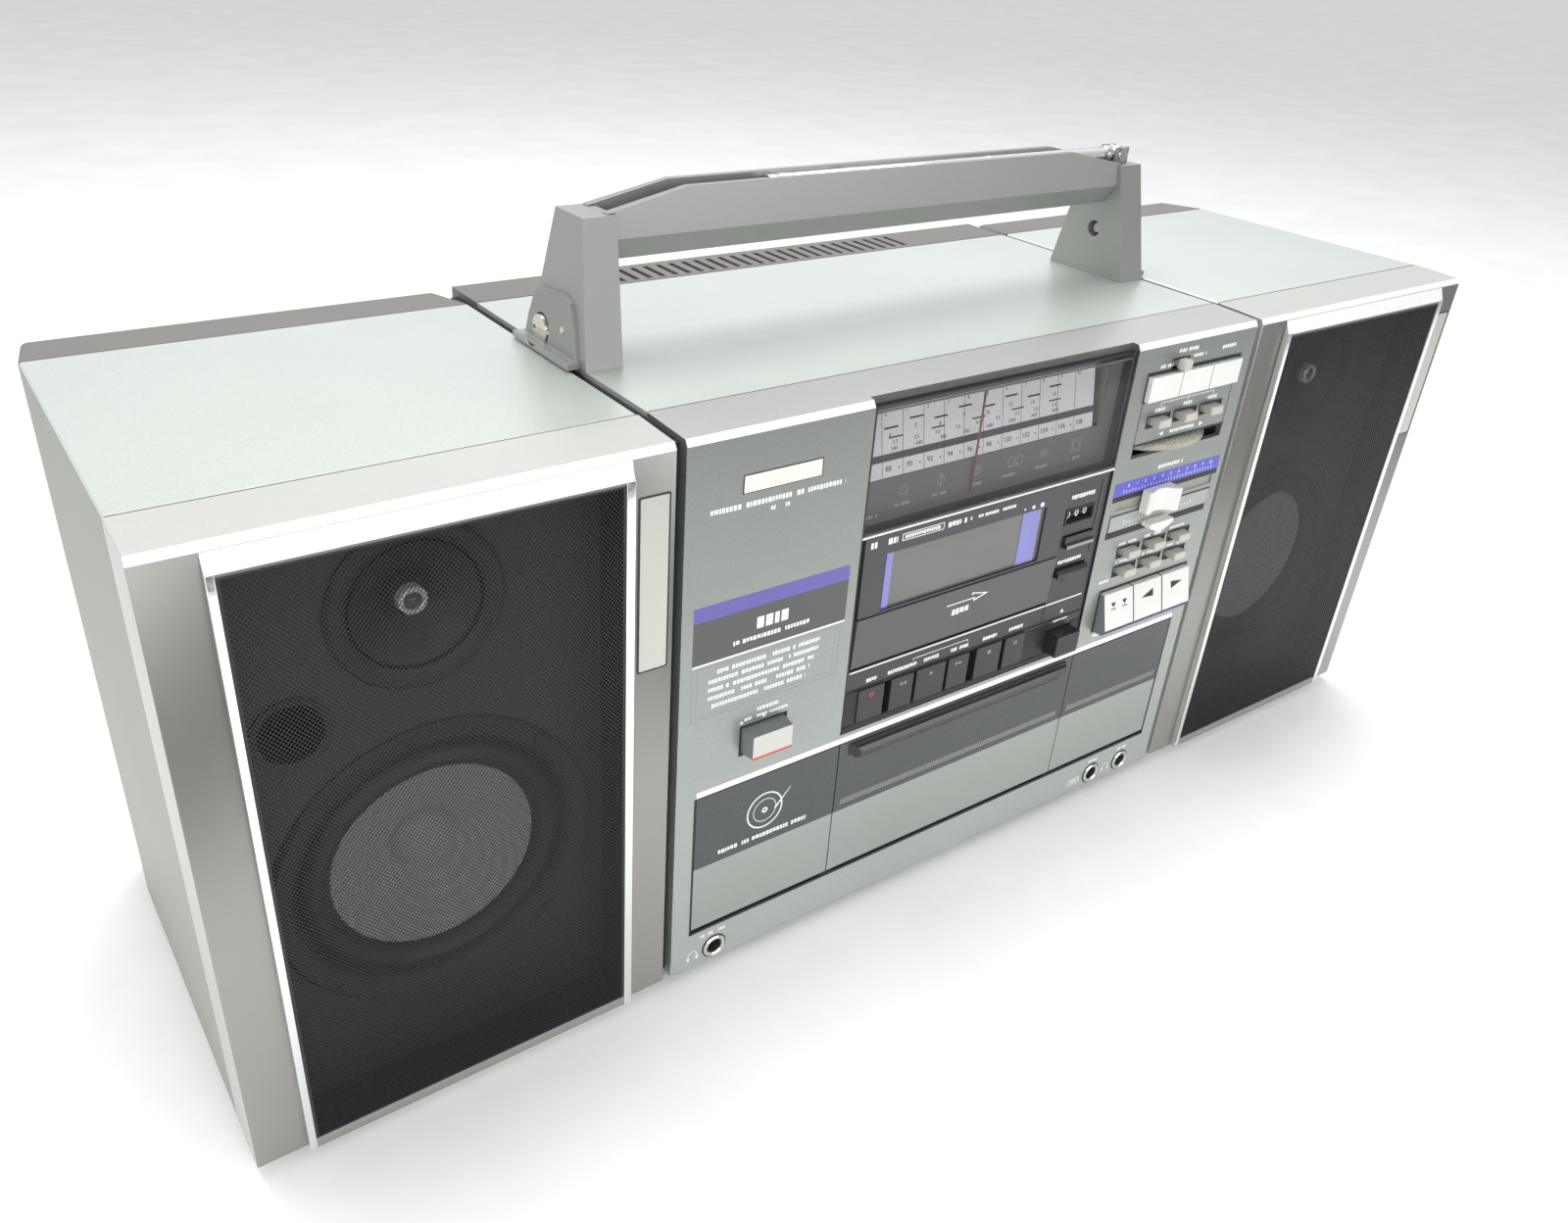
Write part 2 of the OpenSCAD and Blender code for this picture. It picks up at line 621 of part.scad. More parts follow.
// Arm that runs straight across the record on the rail
module tonearm_carriage() color("#a9adb0") {
    difference() {
        box(arm_x - 16, arm_x - 2, rail_y - 8, rail_y + 8, record_z + 3, record_z + 15);
        bar_x(arm_x - 17, arm_x, rail_y, record_z + 9, 2.55);
    }
    box(arm_x - 8, arm_x - 4, rail_y + 8, platter_y + 4, record_z + 7, record_z + 11);
    box(arm_x - 11, arm_x - 1, platter_y - 10, platter_y + 4, record_z + 3, record_z + 7);
    bar_z(arm_x - 2.5, platter_y, record_z + 1, record_z + 3, 1);
}

// ---- Aerial ----

module antenna_outer() color("#cfd2d4")
    difference() {
        union() {
            bar_x(aerial_x - aerial_len - 4, aerial_x - 6, grip_y, aerial_z, aerial_r);
            bar_x(aerial_x - 7, aerial_x, grip_y, aerial_z, 2.7);
            bar_y(aerial_x, grip_y - 2.9, grip_y + 2.9, aerial_z, 3.6);
        }
        bar_y(aerial_x, grip_y - 8, grip_y + 8, aerial_z, aerial_pin_r + 0.05);
        bar_x(aerial_x - aerial_len - 6, aerial_x - 40, grip_y, aerial_z, aerial_inner_r + 0.05);
    }

module antenna_inner() color("#dcdfe0") {
    bar_x(aerial_x - aerial_len - 4.4, aerial_x - 50, grip_y, aerial_z, aerial_inner_r);
    bar_x(aerial_x - aerial_len - 11, aerial_x - aerial_len - 4.4, grip_y, aerial_z, 3.3);
}

// ---- Speakers: both are the same, apart from the side that the pegs are on ----

module speaker_cabinet(side)
    translate([side * speaker_x, 0, 0]) {
        difference() {
            box(-speaker_w / 2, speaker_w / 2, band_d, body_d, 0, body_h);
            box(-speaker_w / 2 + cabinet_wall, speaker_w / 2 - cabinet_wall, band_d - eps,
                body_d - cabinet_wall, cabinet_wall, body_h - cabinet_wall);
        }
        for (spot = foot_spots) {
            bar_z(spot[0] * (speaker_w / 2 - 20), spot[1], -foot_h, 0, foot_r);
            bar_y(spot[0] * (speaker_w / 2 - 20), body_d, body_d + bumper_reach, spot[1] + 36, foot_r);
        }
        for (spot = peg_spots)
            bar_x(-side * speaker_w / 2 - 8, -side * speaker_w / 2 + 8, spot[0], spot[1], 4);
    }

// Front moulding with the two rails, the baffle and its holes
module speaker_frame(side)
    translate([side * speaker_x, 0, 0])
        difference() {
            intersection() {
                run_z(0, body_h)
                    polygon([[-speaker_w / 2, band_d], [-speaker_w / 2, 0], [-72.5, 0], [-70, -grille_out],
                        [71, -grille_out], [71.5, 0], [speaker_w / 2, 0], [speaker_w / 2, band_d]]);
                run_x(-speaker_w / 2, speaker_w / 2)
                    polygon([[-grille_out, 0], [-grille_out, body_h - 6.6], [0, top_edge_z],
                        [1.6, body_h - 1.1], [band_d, body_h], [band_d, 0]]);
            }
            box(-67.4, 67.6, -grille_out - eps, 18, 5, 249.5);
            box(-speaker_w / 2 + 4, speaker_w / 2 - 4, 24, band_d + eps, 4, body_h - 6);
            bar_y(-2.5, 17, 25, woofer_z, woofer_r - 5);
            bar_y(-2.5, 17, 25, tweeter_z, tweeter_r - 5);
            bar_y(-49, 17, 25, 176, port_r);
        }

module speaker_grille(side)
    translate([side * speaker_x, 0, 0])
        box(-67.4, 67.6, -grille_out + 0.3, -grille_out + 1.3, 5, 249.5);

module woofer(side)
    turn_y(side * speaker_x - 2.5, 18, woofer_z)
        polygon([[0, 14], [12, 18], [cone_r, 3], [cone_r + 8, -3], [woofer_r - 7, -1], [woofer_r - 7, -4],
            [woofer_r, -4], [woofer_r, 0], [woofer_r - 6, 0], [38, 34], [38, 52], [0, 52]]);

module tweeter(side)
    turn_y(side * speaker_x - 2.5, 18, tweeter_z)
        polygon([[0, -1], [7, 1], [9, 5], [22, -2], [22, -4], [tweeter_r, -4], [tweeter_r, 0],
            [tweeter_r - 6, 0], [22, 22], [0, 22]]);

module speaker_cabinet_left() color("#a9b3b0") speaker_cabinet(-1);
module speaker_frame_left() color("#8e8c88") speaker_frame(-1);
module speaker_grille_left() color("#1d1e20") speaker_grille(-1);
module woofer_left() color("#8f8f8c") woofer(-1);
module tweeter_left() color("#2a2b2d") tweeter(-1);
module speaker_cabinet_right() color("#a9b3b0") speaker_cabinet(1);
module speaker_frame_right() color("#8e8c88") speaker_frame(1);
module speaker_grille_right() color("#1d1e20") speaker_grille(1);
module woofer_right() color("#8f8f8c") woofer(1);
module tweeter_right() color("#2a2b2d") tweeter(1);

rear_case();
top_cover();
front_panel();
deck_panel();
dial_window();
tape_mechanism();
main_board();
handle_grip();
handle_posts();
handle_screws();
jack_sockets();
power_button();
timer_switch();
function_button_1();
function_button_2();
function_button_3();
band_switch_1();
band_switch_2();
band_switch_3();
tuning_knob();
dial_pointer();
volume_slider();
balance_slider();
tone_switch_1();
tone_switch_2();
tone_switch_3();
tone_switch_4();
tone_switch_5();
tone_switch_6();
turntable_button_1();
turntable_button_2();
turntable_button_3();
key_record();
key_rewind();
key_play();
key_forward();
key_stop();
key_pause();
key_eject();
counter_reset_button();
record_mute_button();
cassette_door();
supply_hub();
takeup_hub();
turntable_drawer();
drawer_front();
platter();
tonearm_carriage();
antenna_outer();
antenna_inner();
speaker_cabinet_left();
speaker_frame_left();
speaker_grille_left();
woofer_left();
tweeter_left();
speaker_cabinet_right();
speaker_frame_right();
speaker_grille_right();
woofer_right();
tweeter_right();
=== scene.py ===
"""Looks of a portable stereo: a centre unit with radio, cassette deck and record drawer, and two speakers.

Places are local and in millimetres: x from the middle, y back from the front face, z up from the
cabinet floor, as in the CAD source. at() turns them into metres in the shared frame.
"""

import math
import random

import bmesh
import bpy
from mathutils import Matrix, Vector


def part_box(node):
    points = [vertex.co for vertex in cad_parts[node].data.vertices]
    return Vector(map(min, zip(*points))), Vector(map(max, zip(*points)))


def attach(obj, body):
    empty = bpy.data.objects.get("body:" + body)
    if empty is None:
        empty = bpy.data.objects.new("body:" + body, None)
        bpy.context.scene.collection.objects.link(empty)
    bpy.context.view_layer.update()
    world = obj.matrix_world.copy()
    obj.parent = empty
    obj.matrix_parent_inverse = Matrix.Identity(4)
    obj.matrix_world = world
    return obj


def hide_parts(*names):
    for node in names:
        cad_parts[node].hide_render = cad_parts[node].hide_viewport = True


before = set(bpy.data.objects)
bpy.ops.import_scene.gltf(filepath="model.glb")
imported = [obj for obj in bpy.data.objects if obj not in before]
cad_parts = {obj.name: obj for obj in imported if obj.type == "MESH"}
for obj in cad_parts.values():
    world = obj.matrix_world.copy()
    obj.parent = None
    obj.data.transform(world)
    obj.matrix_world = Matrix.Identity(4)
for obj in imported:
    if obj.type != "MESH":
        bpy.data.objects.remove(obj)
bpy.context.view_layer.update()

MM = 0.001

# ---- Driving places, read from the frame ----

FRONT_LOW, FRONT_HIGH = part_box("front_panel")
FRONT = FRONT_LOW.y
FLOOR = FRONT_LOW.z


def at(x, y, z):
    """A local place in the shared frame, in metres."""
    return Vector((x * MM, FRONT + y * MM, FLOOR + z * MM))


def local_box(node):
    """A CAD node's corners as local millimetres: x0, x1, y0, y1, z0, z1."""
    low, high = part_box(node)
    return (
        low.x / MM, high.x / MM,
        (low.y - FRONT) / MM, (high.y - FRONT) / MM,
        (low.z - FLOOR) / MM, (high.z - FLOOR) / MM,
    )


HALF_W = FRONT_HIGH.x / MM
BODY_H = (FRONT_HIGH.z - FLOOR) / MM
BAND_D = (FRONT_HIGH.y - FRONT) / MM
BODY_D = local_box("rear_case")[3] - 4
STRIP_Y = (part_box("top_cover")[1].y - FRONT) / MM
TOP_EDGE_Z = BODY_H - 3.8
CHAMFER_Z = BODY_H - 1.1
SPEAKER = local_box("speaker_frame_right")
SPEAKER_X = (SPEAKER[0] + SPEAKER[1]) / 2
SPEAKER_HALF = (SPEAKER[1] - SPEAKER[0]) / 2
SIDES = {"left": -1, "right": 1}


# ---- Camera, lights and floor ----

CAMERA_PLACE = (-0.38379, -0.44001, 0.43322)
CAMERA_ANGLES = (0.6339, -0.5267, 0.0613)      # azimuth, elevation and roll, in radians
SENSOR_WIDTH, LENS = 36, 28.76
SHIFT_X, SHIFT_Y = 0.0248, 0.001


def make_camera():
    """The view from the front left, slightly above the handle."""
    azimuth, elevation, roll = CAMERA_ANGLES
    forward = Vector((
        math.sin(azimuth) * math.cos(elevation),
        math.cos(azimuth) * math.cos(elevation),
        math.sin(elevation),
    ))
    right = Vector((math.cos(azimuth), -math.sin(azimuth), 0))
    up = right.cross(forward)
    turned_right = right * math.cos(roll) + up * math.sin(roll)
    turned_up = up * math.cos(roll) - right * math.sin(roll)
    data = bpy.data.cameras.new("camera")
    data.sensor_width = SENSOR_WIDTH
    data.lens = LENS
    data.shift_x = SHIFT_X
    data.shift_y = SHIFT_Y
    data.clip_start = 0.01
    camera = bpy.data.objects.new("camera", data)
    axes = Matrix((turned_right, turned_up, -forward)).transposed()
    camera.matrix_world = Matrix.Translation(CAMERA_PLACE) @ axes.to_4x4()
    bpy.context.scene.collection.objects.link(camera)
    bpy.context.scene.camera = camera


def area_light(name, place, target, size, power, color=(1, 1, 1)):
    data = bpy.data.lights.new(name, "AREA")
    data.shape = "RECTANGLE"
    data.size, data.size_y = size
    data.energy = power
    data.color = color
    light = bpy.data.objects.new(name, data)
    light.location = place
    light.rotation_euler = (Vector(target) - Vector(place)).to_track_quat("-Z", "Y").to_euler()
    bpy.context.scene.collection.objects.link(light)


def make_stage():
    """A room that is bright behind and above and dim in front, with soft lights and a pale floor."""
    world = bpy.data.worlds.new("studio")
    world.use_nodes = True
    tree = world.node_tree
    direction = add_node(tree, "ShaderNodeTexCoord").outputs["Generated"]
    front_to_back = add_node(tree, "ShaderNodeSeparateXYZ", {"Vector": direction}).outputs["Y"]
    strength = add_node(
        tree, "ShaderNodeMapRange",
        {"Value": front_to_back, "From Min": -0.8, "From Max": 0.3, "To Min": 0.22, "To Max": 0.97},
    )
    background = tree.nodes["Background"]
    background.inputs["Color"].default_value = (0.97, 0.985, 1.0, 1)
    tree.links.new(strength.outputs["Result"], background.inputs["Strength"])
    scene = bpy.context.scene
    scene.world = world
    scene.view_settings.view_transform = "Standard"
    area_light("ceiling_light", (0.15, 0.5, 1.9), (0.1, 0.1, 0), (2.0, 1.2), 33)
    area_light("left_light", (-2.2, -0.3, 1.0), (-0.2, 0, 0.15), (1.2, 1.2), 3, (1, 0.96, 0.90))
    area_light("bounce_light", (-0.1, -0.85, 0.42), (0, -0.2, 0), (2.2, 0.4), 9.8)
    mesh = bpy.data.meshes.new("floor")
    reach, near_edge = 12.0, -0.56
    mesh.from_pydata(
        [(-reach, near_edge, 0), (reach, near_edge, 0), (reach, reach, 0), (-reach, reach, 0)],
        [], [(0, 1, 2, 3)],
    )
    floor = bpy.data.objects.new("floor", mesh)
    bpy.context.scene.collection.objects.link(floor)
    floor.data.materials.append(
        finish("floor_paper", (0.90, 0.90, 0.895), roughness=0.75, grain=60, bump=0.02, spread=0.01)
    )


# ---- Materials ----

def new_nodes(name):
    """A new material with its node tree and its shader."""
    material = bpy.data.materials.new(name)
    material.use_nodes = True
    tree = material.node_tree
    return material, tree, tree.nodes["Principled BSDF"]


def add_node(tree, kind, inputs=None, **settings):
    node = tree.nodes.new(kind)
    for key, value in settings.items():
        setattr(node, key, value)
    for key, value in (inputs or {}).items():
        if isinstance(value, bpy.types.NodeSocket):
            tree.links.new(value, node.inputs[key])
        else:
            node.inputs[key].default_value = value
    return node


def places(tree, stretch=(1, 1, 1)):
    """The object's own coordinates, in metres."""
    coordinates = add_node(tree, "ShaderNodeTexCoord")
    mapping = add_node(tree, "ShaderNodeMapping", {"Vector": coordinates.outputs["Object"]})
    mapping.inputs["Scale"].default_value = stretch
    return mapping.outputs["Vector"]


def noise(tree, vector, scale, detail=2.0, rough=0.5):
    node = add_node(
        tree, "ShaderNodeTexNoise",
        {"Vector": vector, "Scale": scale, "Detail": detail, "Roughness": rough},
    )
    return node.outputs["Fac"]


def spread_map(tree, value, low, high):
    """Stretches the middle half of a noise to run from low to high."""
    node = add_node(
        tree, "ShaderNodeMapRange",
        {"Value": value, "From Min": 0.3, "From Max": 0.7, "To Min": low, "To Max": high},
    )
    return node.outputs["Result"]


def shade(tree, color, factor):
    """The colour times a factor that varies over the surface."""
    node = add_node(tree, "ShaderNodeVectorMath", operation="SCALE")
    if isinstance(color, bpy.types.NodeSocket):
        tree.links.new(color, node.inputs[0])
    else:
        node.inputs[0].default_value = color[:3]
    tree.links.new(factor, node.inputs["Scale"])
    return node.outputs["Vector"]


COLOR_DRIFT = 0.03
BUMP_DEPTH = 0.00006           # metres
# Spans for painted light: the height over which the foot's painted floor reflection fades, and the normals
# at which faces count as turned up or forward.
FLOOR_REFLECTION_FADE = (0.75, 0.05)
FACES_UP = (0.45, 0.75)
FACES_FRONT = (-0.6, -0.85)


def blend_by(tree, vector, axis, span, first, second):
    """Mix two colours along one axis of a vector: the first up to span[0], the second from span[1]."""
    value = add_node(tree, "ShaderNodeSeparateXYZ", {"Vector": vector}).outputs[axis]
    share = add_node(
        tree, "ShaderNodeMapRange",
        {"Value": value, "From Min": span[0], "From Max": span[1], "To Min": 0.0, "To Max": 1.0},
    )
    mix = add_node(tree, "ShaderNodeMix", data_type="RGBA")
    for socket, color in ((mix.inputs[6], first), (mix.inputs[7], second)):
        if isinstance(color, tuple):
            socket.default_value = (*color, 1)
        else:
            tree.links.new(color, socket)
    tree.links.new(share.outputs["Result"], mix.inputs["Factor"])
    return mix.outputs[2]


def finish(name, color, roughness=0.45, metallic=0.0, grain=2200.0, bump=0.1, spread=0.05,
           stretch=(1, 1, 1), rough_spread=0.06, top=None, front=None, low=None):
    """A painted, moulded or metal surface.

    A fine grain gives flecks, roughness and bump. A broad drift moves the colour a little. stretch
    draws the grain out into brush marks. top and front are colours for what faces up and forward,
    painted light and shade by facing, and low is the colour at the foot of the piece, a painted
    reflection of the bright floor, which fades to the main one towards its top.
    """
    material, tree, shader = new_nodes(name)
    vector = places(tree, stretch)
    fine = noise(tree, vector, grain, 2.0, 0.6)
    broad = noise(tree, places(tree), 9.0, 3.0)
    factor = add_node(tree, "ShaderNodeMath", operation="MULTIPLY")
    tree.links.new(spread_map(tree, fine, 1 - spread, 1 + spread), factor.inputs[0])
    tree.links.new(spread_map(tree, broad, 1 - COLOR_DRIFT, 1 + COLOR_DRIFT), factor.inputs[1])
    base = color
    # Painted light: the foot fades to a lighter colour, a painted reflection of the bright floor, and faces
    # turned up or forward blend to lit or shaded colours.
    if low is not None:
        height = add_node(tree, "ShaderNodeTexCoord").outputs["Generated"]
        base = blend_by(tree, height, "Z", FLOOR_REFLECTION_FADE, base, low)
    for other, axis, span in ((top, "Z", FACES_UP), (front, "Y", FACES_FRONT)):
        if other is not None:
            normal = add_node(tree, "ShaderNodeTexCoord").outputs["Normal"]
            base = blend_by(tree, normal, axis, span, base, other)
    tree.links.new(shade(tree, base, factor.outputs["Value"]), shader.inputs["Base Color"])
    tree.links.new(
        spread_map(tree, fine, max(0.02, roughness - rough_spread), roughness + rough_spread),
        shader.inputs["Roughness"],
    )
    shader.inputs["Metallic"].default_value = metallic
    relief = add_node(
        tree, "ShaderNodeBump", {"Height": fine, "Strength": bump, "Distance": BUMP_DEPTH}
    )
    tree.links.new(relief.outputs["Normal"], shader.inputs["Normal"])
    return material


def glass(name, color, alpha, roughness=0.04):
    """Tinted clear plastic, darker where a broad noise says so, with a faint haze in its gloss."""
    material, tree, shader = new_nodes(name)
    haze = noise(tree, places(tree), 30.0, 3.0)
    tree.links.new(shade(tree, color, spread_map(tree, haze, 0.94, 1.06)), shader.inputs["Base Color"])
    tree.links.new(
        spread_map(tree, haze, roughness * 0.7, roughness * 1.4), shader.inputs["Roughness"]
    )
    shader.inputs["Alpha"].default_value = alpha
    shader.inputs["IOR"].default_value = 1.49
    return material


def woven(name, color, gap_color, pitch):
    """Cone cloth: two crossed waves make a weave at the given pitch, in metres."""
    material, tree, shader = new_nodes(name)
    vector = places(tree)
    axes = add_node(tree, "ShaderNodeSeparateXYZ", {"Vector": vector})
    waves = []
    for across in ("X", "Z"):
        angle = add_node(tree, "ShaderNodeMath", operation="MULTIPLY")
        tree.links.new(axes.outputs[across], angle.inputs[0])
        angle.inputs[1].default_value = 2 * math.pi / pitch
        wave = add_node(tree, "ShaderNodeMath", operation="SINE")
        tree.links.new(angle.outputs["Value"], wave.inputs[0])
        waves.append(wave.outputs["Value"])
    weave = add_node(tree, "ShaderNodeMath", operation="MULTIPLY")
    tree.links.new(waves[0], weave.inputs[0])
    tree.links.new(waves[1], weave.inputs[1])
    factor = add_node(
        tree, "ShaderNodeMapRange",
        {"Value": weave.outputs["Value"], "From Min": -0.6, "From Max": 0.6},
    )
    mix = add_node(tree, "ShaderNodeMix", data_type="RGBA")
    mix.inputs[6].default_value = (*gap_color, 1)
    mix.inputs[7].default_value = (*color, 1)
    tree.links.new(factor.outputs["Result"], mix.inputs["Factor"])
    tree.links.new(mix.outputs[2], shader.inputs["Base Color"])
    shader.inputs["Roughness"].default_value = 0.7
    relief = add_node(
        tree, "ShaderNodeBump",
        {"Height": weave.outputs["Value"], "Strength": 0.6, "Distance": 0.0002},
    )
    tree.links.new(relief.outputs["Normal"], shader.inputs["Normal"])
    return material


TOP_SILVER = finish("cover_silver", (0.56, 0.60, 0.56), 0.36, 0.5, grain=2600, bump=0.12, spread=0.10)
SIDE_SILVER = finish("side_silver", (0.29, 0.295, 0.262), 0.46, 0.3, grain=2600, bump=0.12, spread=0.10)
BAND_SILVER = finish("band_silver", (0.50, 0.50, 0.475), 0.42, 0.4, grain=2600, bump=0.06, spread=0.08)
# Front silver: faces turned up get a lighter colour, painted light, and the foot fades to a lighter colour,
# a painted reflection of the bright floor.
FRONT_SILVER = finish(
    "front_silver", (0.27, 0.288, 0.272), 0.36, 0.72, grain=2600, bump=0.1, spread=0.10,
    top=(0.50, 0.51, 0.49), low=(0.46, 0.49, 0.463),
)
# Rail silver for the speaker mouldings' front faces: a darker copy of the band silver, painted shade, and
# lighter at the foot, a painted reflection of the bright floor.
RAIL = finish(
    "rail_paint", (0.25, 0.246, 0.232), 0.34, 0.8, grain=2600, bump=0.03, spread=0.03, rough_spread=0.02,
    low=(0.345, 0.34, 0.32),
)
# Near-white for silver chamfers and the trim strip over the drawer: a painted highlight.
EDGE_HIGHLIGHT = finish("edge_highlight", (0.90, 0.90, 0.89), 0.3, 0.1, grain=2600, bump=0.015, spread=0.02)
CASE_BROWN = finish("case_brown", (0.17, 0.16, 0.15), 0.55, 0.1, grain=1800, bump=0.25, spread=0.06)
CHROME = finish(
    "chrome", (0.86, 0.87, 0.88), 0.08, 1.0, grain=500, bump=0.01, spread=0.01, rough_spread=0.03
)
SATIN_METAL = finish("satin_metal", (0.66, 0.66, 0.65), 0.3, 0.9, grain=1500, bump=0.08, stretch=(1, 1, 8))
NICKEL = finish("nickel", (0.72, 0.69, 0.62), 0.22, 1.0, grain=1500, bump=0.05)
BLACK = finish("black_plastic", (0.012, 0.012, 0.014), 0.5, grain=2500, bump=0.2)
BLACK_GLOSS = finish("black_gloss", (0.02, 0.02, 0.023), 0.18, grain=1200, bump=0.03, rough_spread=0.04)
RUBBER = finish("rubber", (0.03, 0.03, 0.032), 0.75, grain=1500, bump=0.4)
GRILLE = finish("grille_black", (0.012, 0.012, 0.014), 0.28, grain=3000, bump=0.03)
DECK = finish("deck_plastic", (0.032, 0.036, 0.037), 0.38, grain=2600, bump=0.12, spread=0.08)
DOOR = finish("door_plastic", (0.08, 0.086, 0.085), 0.36, 0.1, grain=2600, bump=0.12, spread=0.08)
DARK_PANEL = finish("drawer_dark", (0.062, 0.068, 0.070), 0.3, 0.1, grain=2600, bump=0.06, spread=0.06)
KEY_BLACK = finish("key_black", (0.022, 0.022, 0.025), 0.3, grain=2000, bump=0.08)
WHITE_PLASTIC = finish("white_plastic", (0.73, 0.725, 0.695), 0.38, grain=1800, bump=0.06, spread=0.02)
LEVER_BEIGE = finish("lever_beige", (0.50, 0.485, 0.44), 0.4, 0.15, grain=1800, bump=0.08)
PRINT_WHITE = finish("print_white", (0.78, 0.80, 0.80), 0.5, grain=3000, bump=0.02, spread=0.03)
PRINT_BLACK = finish("print_black", (0.02, 0.02, 0.022), 0.5, grain=3000, bump=0.02, spread=0.03)
PRINT_RED = finish("print_red", (0.55, 0.05, 0.04), 0.4, grain=2000, bump=0.03)
PRINT_VIOLET = finish("print_violet", (0.115, 0.10, 0.36), 0.42, grain=2500, bump=0.04)
HANDLE_GREY = finish("handle_grey", (0.29, 0.298, 0.284), 0.4, 0.35, grain=2300, bump=0.1, spread=0.07)
POINTER_AMBER = finish("pointer_amber", (0.30, 0.13, 0.06), 0.35, grain=2000, bump=0.03)
BOARD_GREEN = finish("board_green", (0.03, 0.12, 0.05), 0.5, grain=800, bump=0.2)
MECH_METAL = finish("mechanism_metal", (0.42, 0.43, 0.44), 0.35, 0.85, grain=1500, bump=0.08)
SMOKED = glass("smoked_window", (0.05, 0.052, 0.056), 0.20, 0.02)
CONE = woven("cone_cloth", (0.38, 0.372, 0.353), (0.22, 0.215, 0.205), 0.0016)
PLATE_CREAM = finish("plate_cream", (0.76, 0.75, 0.68), 0.34, 0.1, grain=1600, bump=0.006, spread=0.02)
PLATE_SATIN = finish("plate_satin", (0.50, 0.51, 0.46), 0.36, 0.5, grain=1600, bump=0.01, spread=0.04)
BAY_GREY = finish("bay_grey", (0.24, 0.235, 0.225), 0.5, grain=900, bump=0.004, spread=0.01)
BAFFLE_BLACK = finish("baffle_black", (0.026, 0.026, 0.027), 0.5, grain=2500, bump=0.1)
POWER_FACE = finish("power_face", (0.56, 0.555, 0.52), 0.34, 0.1, grain=1600, bump=0.006, spread=0.02)
# Handle posts: faces turned to the front get a darker colour, painted shade.
HANDLE_POST = finish(
    "handle_post", (0.32, 0.328, 0.313), 0.4, 0.35, grain=2300, bump=0.1, spread=0.07,
    front=(0.235, 0.243, 0.229),
)
BRIGHT_RING = finish("bright_ring", (0.85, 0.85, 0.84), 0.3, 0.3, grain=1500, bump=0.02)
LABEL_GREY = finish("label_grey", (0.075, 0.08, 0.078), 0.4, grain=2400, bump=0.06)
SCALE_LILAC = finish("scale_lilac", (0.90, 0.90, 0.93), 0.5, grain=2000, bump=0.02, spread=0.02)
ICON_PANEL = finish("icon_panel", (0.17, 0.168, 0.172), 0.4, grain=2000, bump=0.04)
ICON_INK = finish("icon_ink", (0.44, 0.45, 0.46), 0.5, grain=2000, bump=0.02)
DOOR_DARK = finish("door_dark", (0.045, 0.049, 0.05), 0.34, 0.1, grain=2600, bump=0.1)
DOOR_PANE = glass("door_pane", (0.165, 0.163, 0.155), 0.86, 0.08)
LAVENDER = finish("lavender_tint", (0.21, 0.21, 0.50), 0.3, grain=1800, bump=0.02)
LIGHT_DOT = finish("light_dot", (0.9, 0.93, 0.95), 0.25, grain=1800, bump=0.02)
KEY_MARK = finish("key_mark", (0.26, 0.265, 0.26), 0.45, grain=1800, bump=0.02)
BUTTON_GREY = finish("button_grey", (0.19, 0.20, 0.205), 0.4, 0.1, grain=2200, bump=0.1)
WHEEL_SILVER = finish(
    "wheel_silver", (0.66, 0.63, 0.55), 0.28, 0.55, grain=900, bump=0.05, stretch=(1, 1, 6)
)
PRINT_BLUE = finish("print_blue", (0.09, 0.085, 0.50), 0.4, grain=2500, bump=0.04)
PRINT_INDIGO = finish("print_indigo", (0.05, 0.05, 0.17), 0.35, grain=2500, bump=0.04)
GREY_SILVER = finish("grey_silver", (0.37, 0.395, 0.37), 0.36, 0.7, grain=2600, bump=0.06, spread=0.08)
TRAY_GREY = finish("tray_grey", (0.05, 0.052, 0.055), 0.5, grain=1800, bump=0.2)


# ---- Mesh shapes, in local millimetres ----

AXES = {"x": (1, 2, 0), "y": (0, 2, 1), "z": (0, 1, 2)}
SMOOTH_BELOW, ROUND_ABOVE = 35, 32             # degrees between two faces


def corners(x0, x1, z0, z1):
    """A rectangle's outline."""
    return [(x0, z0), (x1, z0), (x1, z1), (x0, z1)]


